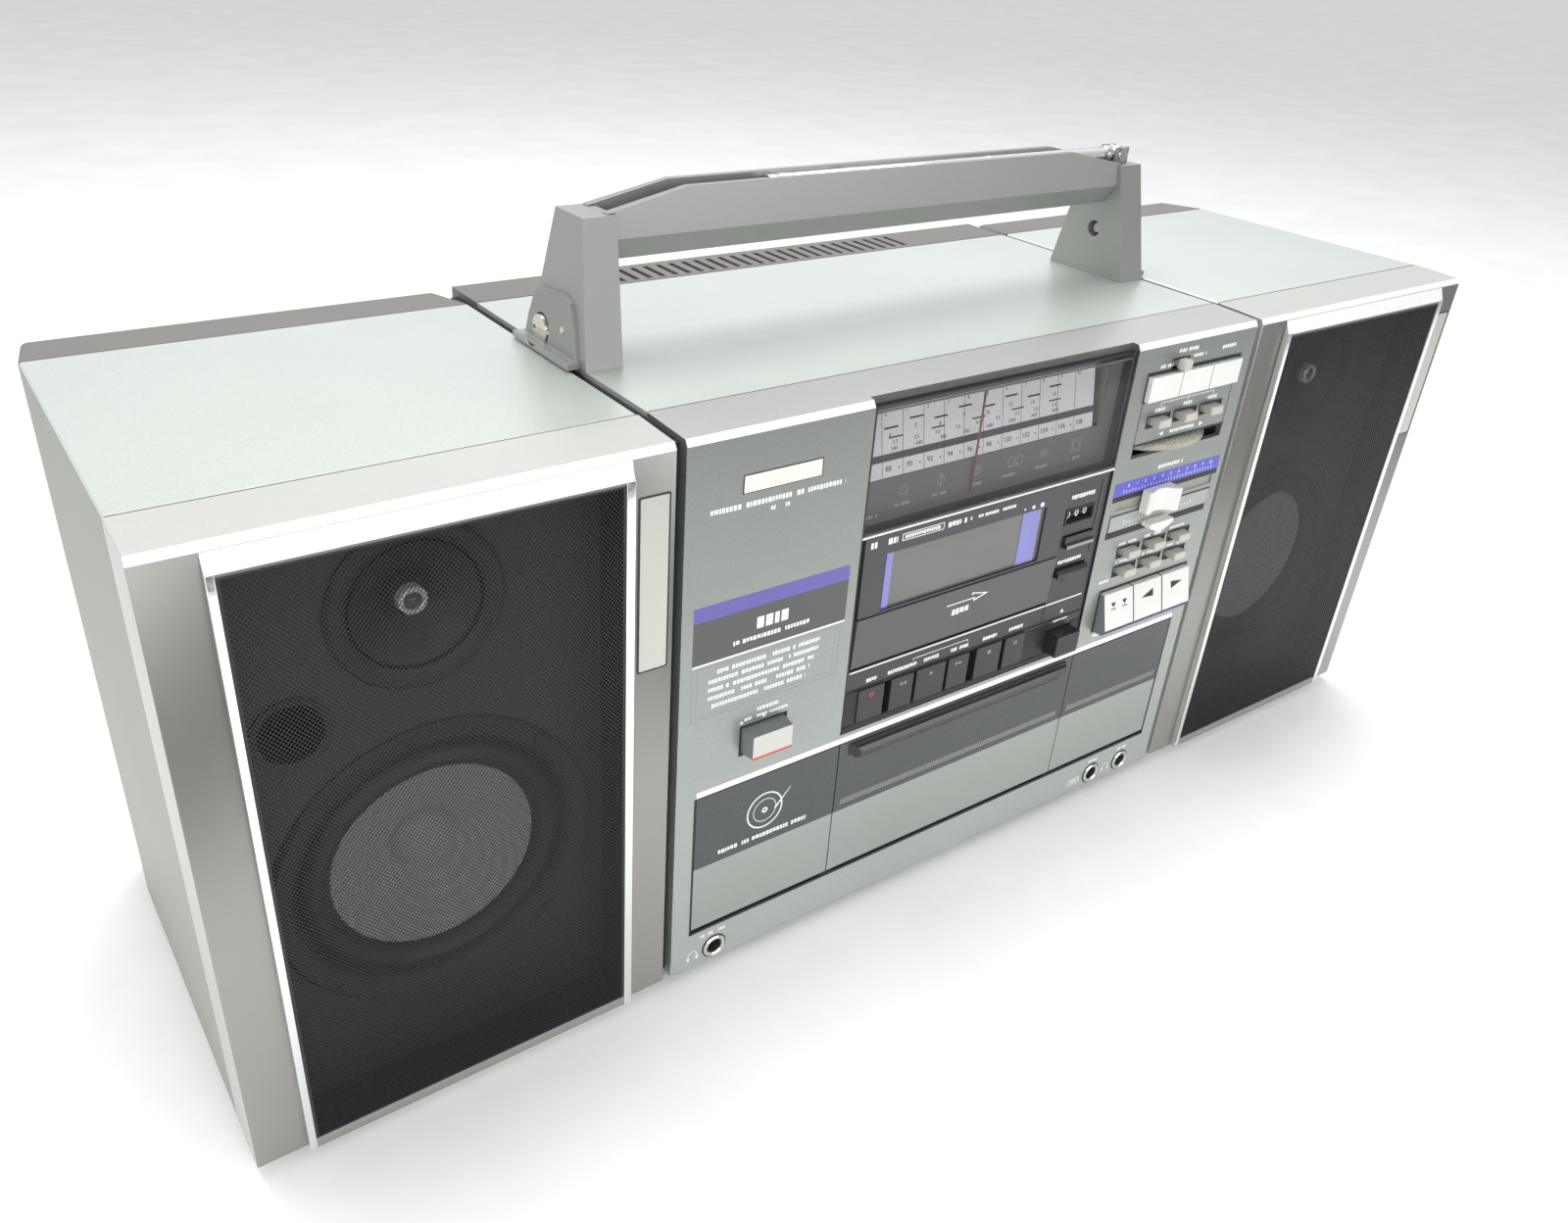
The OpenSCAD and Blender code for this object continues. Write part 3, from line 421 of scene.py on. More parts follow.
class Shape:
    """Collects solids in local millimetres, then becomes one piece."""

    def __init__(self):
        self.bm = bmesh.new()

    def points(self, outline, axis, height):
        first, second, third = AXES[axis]
        made = []
        for a, b in outline:
            place = [0, 0, 0]
            place[first], place[second], place[third] = a, b, height
            made.append(self.bm.verts.new(place))
        return made

    def bridge(self, near, far):
        """Faces between two loops of the same length."""
        for i in range(len(near)):
            j = (i + 1) % len(near)
            self.bm.faces.new((near[i], near[j], far[j], far[i]))

    def prism(self, outline, axis, low, high):
        """An outline in the plane across the axis, drawn out from low to high."""
        start, end = self.points(outline, axis, low), self.points(outline, axis, high)
        self.bm.faces.new(start[::-1])
        self.bm.faces.new(end)
        self.bridge(start, end)
        return self

    def box(self, x0, x1, y0, y1, z0, z1):
        return self.prism(corners(x0, x1, y0, y1), "z", z0, z1)

    def turned(self, profile, centre, axis="y", steps=48):
        """A profile of radius and distance along the axis, turned about it.

        It is closed into a tube if both its ends are off the axis.
        """
        first, second, third = AXES[axis]
        rings = []
        for radius, along in profile:
            count = 1 if radius < 1e-6 else steps
            ring = []
            for i in range(count):
                angle = 2 * math.pi * i / steps
                place = [0, 0, 0]
                place[first] = centre[first] + radius * math.cos(angle)
                place[second] = centre[second] + radius * math.sin(angle)
                place[third] = centre[third] + along
                ring.append(self.bm.verts.new(place))
            rings.append(ring)
        pairs = list(zip(rings, rings[1:]))
        if len(rings[0]) > 1 and len(rings[-1]) > 1:
            pairs.append((rings[-1], rings[0]))
        for low, high in pairs:
            for i in range(steps):
                j = (i + 1) % steps
                loop = [low[i % len(low)], low[j % len(low)], high[j % len(high)], high[i % len(high)]]
                loop = list(dict.fromkeys(loop))
                if len(loop) > 2:
                    self.bm.faces.new(loop)
        return self

    def rod(self, x, y, z, radius, low, high, axis="y", steps=24, edge=0.3):
        """A round bar with small chamfers, from low to high along the axis, relative to the centre."""
        edge = min(edge, radius * 0.4, (high - low) * 0.4)
        profile = [(0, low), (radius - edge, low), (radius, low + edge), (radius, high - edge),
                   (radius - edge, high), (0, high)]
        return self.turned(profile, (x, y, z), axis, steps)

    def plate(self, outline, holes, y0, y1):
        """A flat plate across y with holes, each outline a list of x and z places."""
        front = bmesh.new()
        for loop in [outline, *holes]:
            made = [front.verts.new((a, y0, b)) for a, b in loop]
            for i, vertex in enumerate(made):
                front.edges.new((vertex, made[(i + 1) % len(made)]))
        bmesh.ops.triangle_fill(front, edges=front.edges[:], use_beauty=True, normal=(0, -1, 0))
        bmesh.ops.dissolve_limit(
            front, angle_limit=0.01, verts=front.verts[:], edges=front.edges[:]
        )
        made = bmesh.ops.extrude_face_region(front, geom=front.faces[:])["geom"]
        for vertex in (g for g in made if isinstance(g, bmesh.types.BMVert)):
            vertex.co.y = y1
        self.join(front)
        return self

    def join(self, other):
        mesh = bpy.data.meshes.new("joined")
        other.to_mesh(mesh)
        other.free()
        self.bm.from_mesh(mesh)
        bpy.data.meshes.remove(mesh)

    def lettering(self, text, x, z, size, y0=-0.06, y1=0.02):
        """Generic numbers and marks as thin raised print that faces the front."""
        curve = bpy.data.curves.new("print", "FONT")
        curve.body = text
        curve.size = size
        curve.align_x = "CENTER"
        curve.align_y = "CENTER"
        curve.resolution_u = 2
        curve.extrude = (y1 - y0) / 2
        source = bpy.data.objects.new("print", curve)
        mesh = bpy.data.meshes.new_from_object(source)
        stand = Matrix.Translation((x, (y0 + y1) / 2, z)) @ Matrix.Rotation(math.pi / 2, 4, "X")
        mesh.transform(stand)
        self.bm.from_mesh(mesh)
        bpy.data.meshes.remove(mesh)
        bpy.data.objects.remove(source)
        bpy.data.curves.remove(curve)
        return self

    def cut(self, other, how="DIFFERENCE"):
        """Takes the other shape away from this one, or joins them into one solid."""
        made = []
        for shape in (self, other):
            mesh = bpy.data.meshes.new("solid")
            bmesh.ops.recalc_face_normals(shape.bm, faces=shape.bm.faces[:])
            shape.bm.to_mesh(mesh)
            solid = bpy.data.objects.new("solid", mesh)
            bpy.context.scene.collection.objects.link(solid)
            made.append(solid)
        modifier = made[0].modifiers.new("cut", "BOOLEAN")
        modifier.operation = how
        modifier.object = made[1]
        modifier.solver = "EXACT"
        graph = bpy.context.evaluated_depsgraph_get()
        result = bpy.data.meshes.new_from_object(made[0].evaluated_get(graph))
        self.bm.free()
        other.bm.free()
        self.bm = bmesh.new()
        self.bm.from_mesh(result)
        bpy.data.meshes.remove(result)
        for solid in made:
            mesh = solid.data
            bpy.data.objects.remove(solid)
            bpy.data.meshes.remove(mesh)
        return self

    def piece(self, name, material, body="center_unit", slot=None, bevel=0.0, segments=2,
              replaces=(), pick=None):
        """Makes the piece. material may be a list, and pick then gives each face's place in it."""
        bmesh.ops.recalc_face_normals(self.bm, faces=self.bm.faces[:])
        materials = material if isinstance(material, list) else [material]
        if pick:
            for face in self.bm.faces:
                face.material_index = pick(face.normal, face.calc_center_median())
        for vertex in self.bm.verts:
            vertex.co = at(*vertex.co)
        mesh = bpy.data.meshes.new(name)
        self.bm.to_mesh(mesh)
        self.bm.free()
        for entry in materials:
            mesh.materials.append(entry)
        mesh.shade_smooth()
        mesh.set_sharp_from_angle(angle=math.radians(SMOOTH_BELOW))
        made = bpy.data.objects.new(name, mesh)
        bpy.context.scene.collection.objects.link(made)
        round_edges(made, bevel, segments)
        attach(made, body)
        if replaces:
            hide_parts(*replaces)
        return made


def round_edges(made, width, segments=2):
    """Rounds a piece's edges by that width, in millimetres."""
    if not width:
        return
    modifier = made.modifiers.new("round_edges", "BEVEL")
    modifier.width = width * MM
    modifier.segments = segments
    modifier.limit_method = "ANGLE"
    modifier.angle_limit = math.radians(ROUND_ABOVE)
    modifier.harden_normals = True
    modifier.miter_outer = "MITER_ARC"


def rounded(x0, x1, z0, z1, radius, steps=4):
    """A rectangle's outline with round corners."""
    outline = []
    for cx, cz, start in (
        (x1 - radius, z1 - radius, 0), (x0 + radius, z1 - radius, 90),
        (x0 + radius, z0 + radius, 180), (x1 - radius, z0 + radius, 270),
    ):
        for i in range(steps + 1):
            angle = math.radians(start + 90 * i / steps)
            outline.append((cx + radius * math.cos(angle), cz + radius * math.sin(angle)))
    return outline


def ring(x, z, radius, steps=32):
    """A circle's outline."""
    return [
        (x + radius * math.cos(2 * math.pi * i / steps), z + radius * math.sin(2 * math.pi * i / steps))
        for i in range(steps)
    ]


def paint_node(node, material, bevel=0.0, segments=2):
    """A CAD node keeps its shape and gets its finish, and its edges are rounded by a modifier."""
    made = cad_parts[node]
    made.data.materials.clear()
    made.data.materials.append(material)
    if bevel:
        weld = made.modifiers.new("weld", "WELD")
        weld.merge_threshold = 0.000002
        round_edges(made, bevel, segments)
    return made


# ---- Speakers ----

FIELD = (-70.0, 71.0)          # raised field round the grille
MESH_BOX = (-67.4, 67.6, 5.0, 249.5)
GRILLE_PITCH_X = 1.62
GRILLE_ROWS = 129
GRILLE_HOLE = 0.405            # half a hole's width, as a share of the pitch
GRILLE_Y = (-2.7, -2.45)
DRIVER_X = -2.5
WOOFER_Z, TWEETER_Z = 100.0, 213.0
PORT = (-49.0, 176.0, 12.0)
BAFFLE_Y = 18.0


def grille_mesh(name, row_range):
    """Rows of a punched sheet: staggered four-sided holes with their inner walls, as one mesh."""
    x0, x1, z0, z1 = MESH_BOX
    columns = round((x1 - x0) / GRILLE_PITCH_X)
    step_x, step_z = (x1 - x0) / columns, (z1 - z0) / GRILLE_ROWS
    front, back = GRILLE_Y
    bm = bmesh.new()
    lattice = {}

    def corner(i, k):
        """Lattice point between holes, in half steps."""
        if (i, k) not in lattice:
            x = min(max(x0 + i * step_x / 2, x0), x1)
            z = min(max(z0 + k * step_z / 2, z0), z1)
            lattice[i, k] = bm.verts.new((x, front, z))
        return lattice[i, k]

    for row in row_range:
        for column in range(columns * 2 + 1):
            if (row + column) % 2 == 0:
                continue
            outer = [corner(column + 1, row), corner(column, row + 1),
                     corner(column - 1, row), corner(column, row - 1)]
            x, z = x0 + column * step_x / 2, z0 + row * step_z / 2
            inside = 0 < column < columns * 2 and 0 < row < GRILLE_ROWS * 2
            if not inside:
                distinct = [v for i, v in enumerate(outer) if v.co != outer[i - 1].co]
                if len(distinct) > 2:
                    bm.faces.new(distinct)
                continue
            wide, high = GRILLE_HOLE * step_x, GRILLE_HOLE * step_z
            offsets = [(wide, 0), (0, high), (-wide, 0), (0, -high)]
            near = [bm.verts.new((x + dx, front, z + dz)) for dx, dz in offsets]
            far = [bm.verts.new((x + dx, back, z + dz)) for dx, dz in offsets]
            for i in range(4):
                j = (i + 1) % 4
                bm.faces.new((outer[i], outer[j], near[j], near[i]))
                bm.faces.new((near[i], near[j], far[j], far[i]))
    for vertex in bm.verts:
        vertex.co = at(*vertex.co)
    mesh = bpy.data.meshes.new(name)
    bm.to_mesh(mesh)
    bm.free()
    mesh.materials.append(GRILLE)
    return mesh


def speaker_moulding(side, cx, body):
    """Front moulding: top band with its chamfer in a painted highlight, two rails and the raised field."""
    profile = [(0, 0), (0, TOP_EDGE_Z), (1.6, CHAMFER_Z), (BAND_D - 0.5, BODY_H), (BAND_D - 0.5, 0)]
    shell = Shape().prism(profile, "x", cx - SPEAKER_HALF, cx + SPEAKER_HALF)
    field = [(-3, 0), (-3, BODY_H - 10.4), (0.6, TOP_EDGE_Z + 1.0), (0.6, 0)]
    shell.cut(Shape().prism(field, "x", cx + FIELD[0], cx + FIELD[1]), "UNION")
    x0, x1, z0, z1 = MESH_BOX
    shell.cut(Shape().box(cx + x0, cx + x1, -4, BAND_D + 2, z0, z1))

    # Front faces get the darker rail silver and the other faces the band silver: lit and shaded copies of
    # one paint. The chamfer turned up and forward gets the near-white edge colour, a painted highlight.
    # Faces inside the grille opening are black.
    def pick(normal, centre):
        inside = x0 - 0.2 < centre.x - cx < x1 + 0.2 and z0 - 0.2 < centre.z < z1 + 0.2
        if inside and abs(normal.y) < 0.3 and centre.y > -2.6:
            return 2
        if normal.y < -0.3 and normal.z > 0.3:
            return 3
        return 0 if normal.y < -0.3 else 1

    shell.piece(
        f"front_moulding_{side}", [RAIL, BAND_SILVER, BLACK, EDGE_HIGHLIGHT], body, "rail_paint",
        bevel=0.35, replaces=[f"speaker_frame_{side}"], pick=pick,
    )
    strips = Shape()
    for lo, hi in ((FIELD[0] - 0.1, x0 + 0.1), (x1 - 0.1, FIELD[1] + 0.1)):
        strips.box(cx + lo, cx + hi, -3.25, -2.0, 0.2, BODY_H - 10)
    strips.piece(f"chrome_strips_{side}", CHROME, body, "arm_metal", bevel=0.3, segments=3)
    rim = Shape().plate(
        corners(cx + x0, cx + x1, z0, z1),
        [corners(cx + x0 + 1.3, cx + x1 - 1.3, z0 + 0.8, z1 - 0.9)], -2.82, -2.45,
    )
    rim.piece(f"grille_rim_{side}", BLACK, body, "grille_metal", bevel=0.1)
    lip = Shape().box(cx + FIELD[0], cx + FIELD[1], -3.2, -2.0, 3.2, 5.1)
    lip.piece(f"grille_lip_{side}", SIDE_SILVER, body, "rail_paint", bevel=0.2)


def speaker_drivers(side, cx, body):
    """Woofer, tweeter and port behind the grille, with the baffle's face."""
    x0, x1, z0, z1 = MESH_BOX
    x = cx + DRIVER_X
    port_x, port_z, port_r = PORT
    baffle = Shape().plate(
        corners(cx + x0, cx + x1, z0, z1),
        [ring(x, WOOFER_Z, 58), ring(x, TWEETER_Z, 27), ring(cx + port_x, port_z, port_r)],
        BAFFLE_Y - 1.5, BAFFLE_Y + 3,
    )
    baffle.piece(f"baffle_face_{side}", BAFFLE_BLACK, body, "tweeter_black")

    port = Shape().turned(
        [(port_r + 2.2, -2.4), (port_r - 0.6, -1.6), (port_r - 1.2, 1), (port_r - 1.6, 40),
         (port_r - 0.2, 40), (port_r, 0), (port_r + 2.4, -1.5)],
        (cx + port_x, BAFFLE_Y, port_z),
    )
    port.piece(f"bass_port_{side}", BLACK, body, "tweeter_black")

    surround = Shape().turned(
        [(40.4, 3.2), (41.5, 1.2), (43.5, -1.4), (46.5, -2.6), (49.5, -1.6), (51.6, 0.8), (52.4, 2.4),
         (52.4, 3.8), (40.4, 4.4)],
        (x, BAFFLE_Y, WOOFER_Z), steps=72,
    )
    surround.piece(f"woofer_surround_{side}", BLACK, body, "tweeter_black")

    basket = Shape().turned(
        [(52.2, 2.6), (54, -1.4), (57, -3.2), (62.5, -3.6), (64, -2.4), (64, 0), (57, 0), (44, 26),
         (38, 34), (38, 52), (0, 52), (0, 46), (30, 46), (34, 30), (50, 6)],
        (x, BAFFLE_Y, WOOFER_Z), steps=72,
    )
    for i in range(4):
        angle = math.radians(45 + 90 * i)
        basket.rod(x + 60 * math.cos(angle), BAFFLE_Y, WOOFER_Z + 60 * math.sin(angle), 2.2, -4.4, -3)
    basket.piece(f"woofer_basket_{side}", BLACK, body, "cone_paper", replaces=[f"woofer_{side}"])

    cone = Shape().turned(
        [(12.5, 16), (18, 13.4), (26, 9.6), (34, 5.6), (40.5, 2.6), (41, 3.4), (34, 6.8), (26, 11),
         (18, 15), (12.5, 17.4)],
        (x, BAFFLE_Y, WOOFER_Z), steps=72,
    )
    cone.piece(f"woofer_cone_{side}", CONE, body, "cone_paper")
    dome = [(0, 9.0)] + [
        (13.2 * math.sin(math.radians(a)), 16.2 - 7.2 * math.cos(math.radians(a)))
        for a in range(15, 91, 15)
    ]
    Shape().turned(dome + [(13.2, 17.6), (0, 17.6)], (x, BAFFLE_Y, WOOFER_Z), steps=48).piece(
        f"dust_cap_{side}", finish(f"dust_cap_{side}", (0.30, 0.295, 0.28), 0.5, grain=1400, bump=0.3),
        body, "cone_paper",
    )

    tweeter = Shape().turned(
        [(23, 1.8), (24.5, -2.2), (27, -3.8), (30.4, -4), (32, -2.8), (32, 0), (26, 0), (22, 22), (0, 22),
         (0, 12), (18, 12)],
        (x, BAFFLE_Y, TWEETER_Z), steps=64,
    )
    for i in range(3):
        angle = math.radians(90 + 120 * i)
        tweeter.rod(x + 29 * math.cos(angle), BAFFLE_Y, TWEETER_Z + 29 * math.sin(angle), 1.6, -4.6, -3.8)
    tweeter.piece(f"tweeter_frame_{side}", BLACK, body, "tweeter_black", replaces=[f"tweeter_{side}"])
    for part, material, steps, profile in (
        ("cone", BLACK, 64, [(8.6, 9), (14, 4.6), (19, 0.8), (23.2, -1.4), (23.2, -0.4), (19, 2.0),
                             (14, 6), (8.6, 10.4)]),
        ("throat", BLACK, 48, [(5.2, 4.6), (6.2, 3.6), (8.8, 7.4), (9.4, 10), (5.2, 10)]),
        ("ring", BRIGHT_RING, 48, [(3.4, 1.0), (4.2, 0.2), (5.2, 1.2), (5.4, 5), (5.4, 10), (3.4, 10)]),
        ("dome", DARK_PANEL, 40, [(0, -0.2), (1.4, 0.1), (2.6, 1.0), (3.5, 2.4), (3.5, 8), (0, 8)]),
    ):
        Shape().turned(profile, (x, BAFFLE_Y, TWEETER_Z), steps=steps).piece(
            f"tweeter_{part}_{side}", material, body, "tweeter_black"
        )


def speaker_case(side, sign, cx, body):
    """Painted sheet round the cabinet, the tapered rear cap, rubber feet and the coupling pegs."""
    half = SPEAKER_HALF
    core = Shape().box(cx - half + 1.2, cx + half - 1.2, BAND_D - 2, STRIP_Y + 3, 1.2, BODY_H - 1.2)
    core.cut(Shape().box(cx - 72, cx + 72, BAND_D - 4, BAND_D + 56, 4, BODY_H - 10))
    core.piece(f"cabinet_core_{side}", BLACK, body, "case_plastic", bevel=0.3)
    skin = Shape().prism(
        rounded(cx - half, cx + half, 0, BODY_H, 1.4, 3), "y", BAND_D, STRIP_Y
    )
    skin.cut(Shape().box(cx - 74, cx + 74, BAND_D - 1, BAND_D + 60, 3, BODY_H - 9))

    # Faces turned up get the cover silver and the other outer faces the darker side silver: lit and shaded
    # copies of the one painted sheet.
    def pick(normal, centre):
        if abs(centre.x - cx) < 75 and 2 < centre.z < BODY_H - 8 and centre.y < BAND_D + 62:
            return 2 if centre.y > BAND_D + 0.1 else 1
        return 0 if normal.z > 0.5 else 1

    skin.piece(
        f"cabinet_skin_{side}", [TOP_SILVER, SIDE_SILVER, BLACK], body, "silver_paint", bevel=0.25,
        pick=pick, replaces=[f"speaker_cabinet_{side}"],
    )
    cap = Shape()
    taper = 4.0
    front = cap.points(rounded(cx - half, cx + half, 0, BODY_H, 1.4, 3), "y", STRIP_Y + 0.9)
    rear = cap.points(
        rounded(cx - half + taper, cx + half - taper, 1.5, BODY_H - 1.5, 3, 3), "y", BODY_D
    )
    cap.bm.faces.new(front)
    cap.bm.faces.new(rear[::-1])
    cap.bridge(front, rear)
    cap.cut(Shape().box(cx - 58, cx + 58, BODY_D - 3, BODY_D + 2, 60, 205))
    cap.piece(f"rear_cap_{side}", CASE_BROWN, body, "case_plastic", bevel=0.8, segments=3)
    ribs = Shape()
    for i in range(13):
        z = 66 + i * 11
        ribs.box(cx - 54, cx + 54, BODY_D - 3.2, BODY_D - 0.6, z, z + 4)
    ribs.piece(f"rear_ribs_{side}", CASE_BROWN, body, "case_plastic", bevel=0.5)
    screws(f"rear_screws_{side}", [
        (cx + dx, BODY_D - 0.2, z) for dx in (-72, 72) for z in (22, 238)
    ], body)
    feet = Shape()
    for spot in (-1, 1):
        x = cx + spot * (half - 20)
        for y in (40, 178):
            feet.turned([(0, -5), (7.6, -5), (9, -3.8), (9, -0.4), (7.8, 0), (0, 0)], (x, y, 0), "z", 32)
            feet.turned([(0, 4), (7.4, 4), (9, 2.6), (9, 0.2), (0, 0.2)], (x, BODY_D, y + 36), "y", 32)
    feet.piece(f"feet_and_bumpers_{side}", RUBBER, body, "tweeter_black")
    pegs = Shape()
    inner = cx - sign * half
    for y in (60, 165):
        for z in (12, 240):
            pegs.rod(inner, y, z, 4, -8, 8, "x", 32, 1.2)
    pegs.piece(f"coupling_pegs_{side}", SATIN_METAL, body, "screw_metal")


def screws(name, spots, body="center_unit"):
    """Cross-headed screws that face the rear."""
    radius = 3.0
    heads = Shape()
    for x, y, z in spots:
        heads.turned([(0, -1.5), (radius, -1.5), (radius, 0.2), (radius * 0.75, 0.7), (0, 0.9)], (x, y, z))
        for wide, high in ((radius * 0.62, 0.35), (0.35, radius * 0.62)):
            heads.box(x - wide, x + wide, y + 0.6, y + 0.98, z - high, z + high)
    heads.piece(name, MECH_METAL, body, "screw_metal")


def make_speakers():
    """Two alike speakers. Their grilles share one mesh in two halves."""
    halves = {
        "lower": grille_mesh("grille_lower", range(GRILLE_ROWS)),
        "upper": grille_mesh("grille_upper", range(GRILLE_ROWS, GRILLE_ROWS * 2 + 1)),
    }
    for side, sign in SIDES.items():
        cx = sign * SPEAKER_X
        body = f"speaker_{side}"
        speaker_moulding(side, cx, body)
        speaker_drivers(side, cx, body)
        speaker_case(side, sign, cx, body)
        for half, mesh in halves.items():
            sheet = bpy.data.objects.new(f"grille_{side}_{half}", mesh)
            sheet.location.x = cx * MM
            bpy.context.scene.collection.objects.link(sheet)
            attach(sheet, body)
            if half == "lower":
                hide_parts(f"speaker_grille_{side}")
        # Blank plate on the right rail, in a thin dark frame
        plate = Shape().prism(rounded(cx + 74.6, cx + 86.4, 170, 241.5, 0.5, 2), "y", -0.35, 0.1)
        plate.piece(f"plate_{side}", PLATE_SATIN, body, "rail_paint", bevel=0.1)
        outline = Shape().plate(
            rounded(cx + 73.8, cx + 87.2, 169.2, 242.3, 0.8, 2),
            [rounded(cx + 74.6, cx + 86.4, 170, 241.5, 0.5, 2)], -0.15, 0.1,
        )
        outline.piece(f"plate_outline_{side}", PRINT_BLACK, body, "rail_paint")


# ---- Small marks and printed lines ----

def bar_marks(shape, x0, x1, z, height, seed, y0=-0.06, y1=0.02):
    """A row of short bars that stands for fine print."""
    chance = random.Random(seed)
    x = x0
    while x < x1:
        width = height * chance.uniform(0.35, 0.8)
        if chance.random() > 0.14:
            low = z - height / 2 + height * chance.choice((0, 0, 0.12))
            shape.box(x, min(x + width, x1), y0, y1, low, z + height / 2)
        x += width + height * 0.22
    return shape


def all_marks(shape, rows, y0=-0.06, y1=0.02):
    """Several rows of marks, each given by x0, x1, z, height and seed."""
    for row in rows:
        bar_marks(shape, *row, y0, y1)
    return shape


def line(shape, x0, x1, z0, z1, y0=-0.08, y1=0.02):
    """A thin printed bar."""
    return shape.box(x0, x1, y0, y1, z0, z1)


def hoop(shape, x, z, outer, inner, y0=-0.08, y1=0.02, steps=24):
    """A thin printed ring."""
    return shape.plate(ring(x, z, outer, steps), [ring(x, z, inner, steps)], y0, y1)


def frame_lines(shape, x0, x1, z0, z1, width, y0=-0.08, y1=0.02):
    """A thin printed frame."""
    inner = corners(x0 + width, x1 - width, z0 + width, z1 - width)
    return shape.plate(corners(x0, x1, z0, z1), [inner], y0, y1)


def lean(shape, z0, slope):
    """Tips a shape's points about the height z0, to the rear above it if slope is positive."""
    for vertex in shape.bm.verts:
        vertex.co.y += slope * (vertex.co.z - z0)
    return shape


# ---- Centre unit: case and front ----

def make_case():
    """Case finishes, cover seams, the front edge's painted highlight, side gaskets, lower lip and feet."""
    paint_node("front_panel", FRONT_SILVER)
    paint_node("top_cover", TOP_SILVER)
    paint_node("rear_case", CASE_BROWN)
    seams = Shape()
    seams.box(-HALF_W + 0.3, HALF_W - 0.3, BAND_D - 0.2, BAND_D + 0.25, BODY_H - 1, BODY_H + 0.03)
    seams.box(-HALF_W + 0.3, HALF_W - 0.3, STRIP_Y - 0.1, STRIP_Y + 0.9, BODY_H - 1, BODY_H + 0.04)
    seams.piece("cover_seams", BLACK, slot="case_plastic")
    # The chamfer along the top front edge is near-white: a painted highlight.
    edge = Shape()
    for x0, x1 in ((-HALF_W + 0.3, -76.9), (76.8, HALF_W - 0.3)):
        edge.prism([(-0.03, TOP_EDGE_Z), (1.57, CHAMFER_Z + 0.03), (2.2, CHAMFER_Z - 0.4),
                    (0.6, TOP_EDGE_Z - 0.4)], "x", x0, x1)
    edge.piece("bright_edge", EDGE_HIGHLIGHT, slot="silver_paint")
    gasket = Shape()
    for side in (-1, 1):
        x0, x1 = sorted((side * (HALF_W - 0.2), side * (HALF_W + 3.4)))
        gasket.box(x0, x1, 5, 9, 1.5, BODY_H - 3)
        gasket.box(x0, x1, 9, BODY_D - 6, BODY_H - 9, BODY_H - 3)
        gasket.box(x0, x1, 9, BODY_D - 6, 1.5, 5)
        gasket.box(x0, x1, BODY_D - 12, BODY_D - 6, 5, BODY_H - 9)
    gasket.piece("side_gaskets", BLACK, slot="tweeter_black", bevel=0.4)
    lip = Shape().prism([(0.6, 0.05), (1.6, -1.6), (26, -1.6), (27, 0.05)], "x", -HALF_W + 1, HALF_W - 1)
    lip.piece("lower_lip", CASE_BROWN, slot="case_plastic", bevel=0.3)
    feet = Shape()
    for spot in (-1, 1):
        x = spot * (HALF_W - 24)
        for y in (40, 178):
            feet.turned([(0, -5), (7.8, -5), (9.2, -3.8), (9.2, -0.1), (0, -0.1)], (x, y, 0), "z", 32)
            feet.turned([(0, 4), (7.6, 4), (9.2, 2.6), (9.2, 0.1), (0, 0.1)], (x, BODY_D, y + 36), "y", 32)
    feet.piece("feet_and_bumpers", RUBBER, slot="tweeter_black")


def make_front_print():
    """Blank plate, colour label with its clear sticker, and rows of fine marks on the left panel."""
    Shape().box(-137, -101, -0.4, 0.1, 234.3, 241.2).piece(
        "name_plate", PLATE_CREAM, slot="silver_paint", bevel=0.15
    )
    # A thin black frame round the raised plate: painted shadow at its edges.
    shadow = frame_lines(Shape(), -137.5, -100.4, 233.9, 241.6, 0.45)
    shadow.piece("name_plate_shadow", PRINT_BLACK, slot="deck_plastic")
    Shape().box(-157, -81.3, -0.1, 0.02, 183.6, 190.1).piece(
        "label_colour_band", PRINT_VIOLET, slot="silver_paint"
    )
    Shape().box(-157, -81.3, -0.1, 0.02, 164.2, 183.6).piece(
        "label_dark_field", LABEL_GREY, slot="deck_plastic"
    )
    marks = Shape()
    line(marks, -157, -81.3, 163.3, 164.2, -0.12)
    for x0, x1 in ((-127, -123.6), (-122.6, -119.2), (-118.2, -116), (-115, -111.6)):
        line(marks, x0, x1, 173.2, 178.4, -0.14)
    bar_marks(marks, -138, -100.5, 169.3, 2.0, 3, -0.14)
    for row in range(5):
        bar_marks(marks, -149 + (row == 0) * 4, -92 - 2 * row, 158.6 - row * 4.0, 1.9, 11 + row)
    all_marks(marks, (
        (-151.5, -88.5, 229.2, 2.1, 5), (-124, -114.5, 225.4, 1.9, 7),
        (-124, -113, 133.4, 2.0, 21), (-130, -108, 130.0, 1.5, 22),
    ))
    marks.piece("panel_marks", PRINT_WHITE, slot="button_white")
    sticker = frame_lines(Shape(), -157, -83, 137.7, 163.3, 0.35, -0.05)
    frame_lines(sticker, -154.5, -85.5, 139.5, 161.8, 0.25, -0.05)
    sticker.piece("sticker_edge", SIDE_SILVER, slot="silver_paint")


SOCKET_X, SOCKET_Z = (-139.4, 113.6, 137.6), 7.6


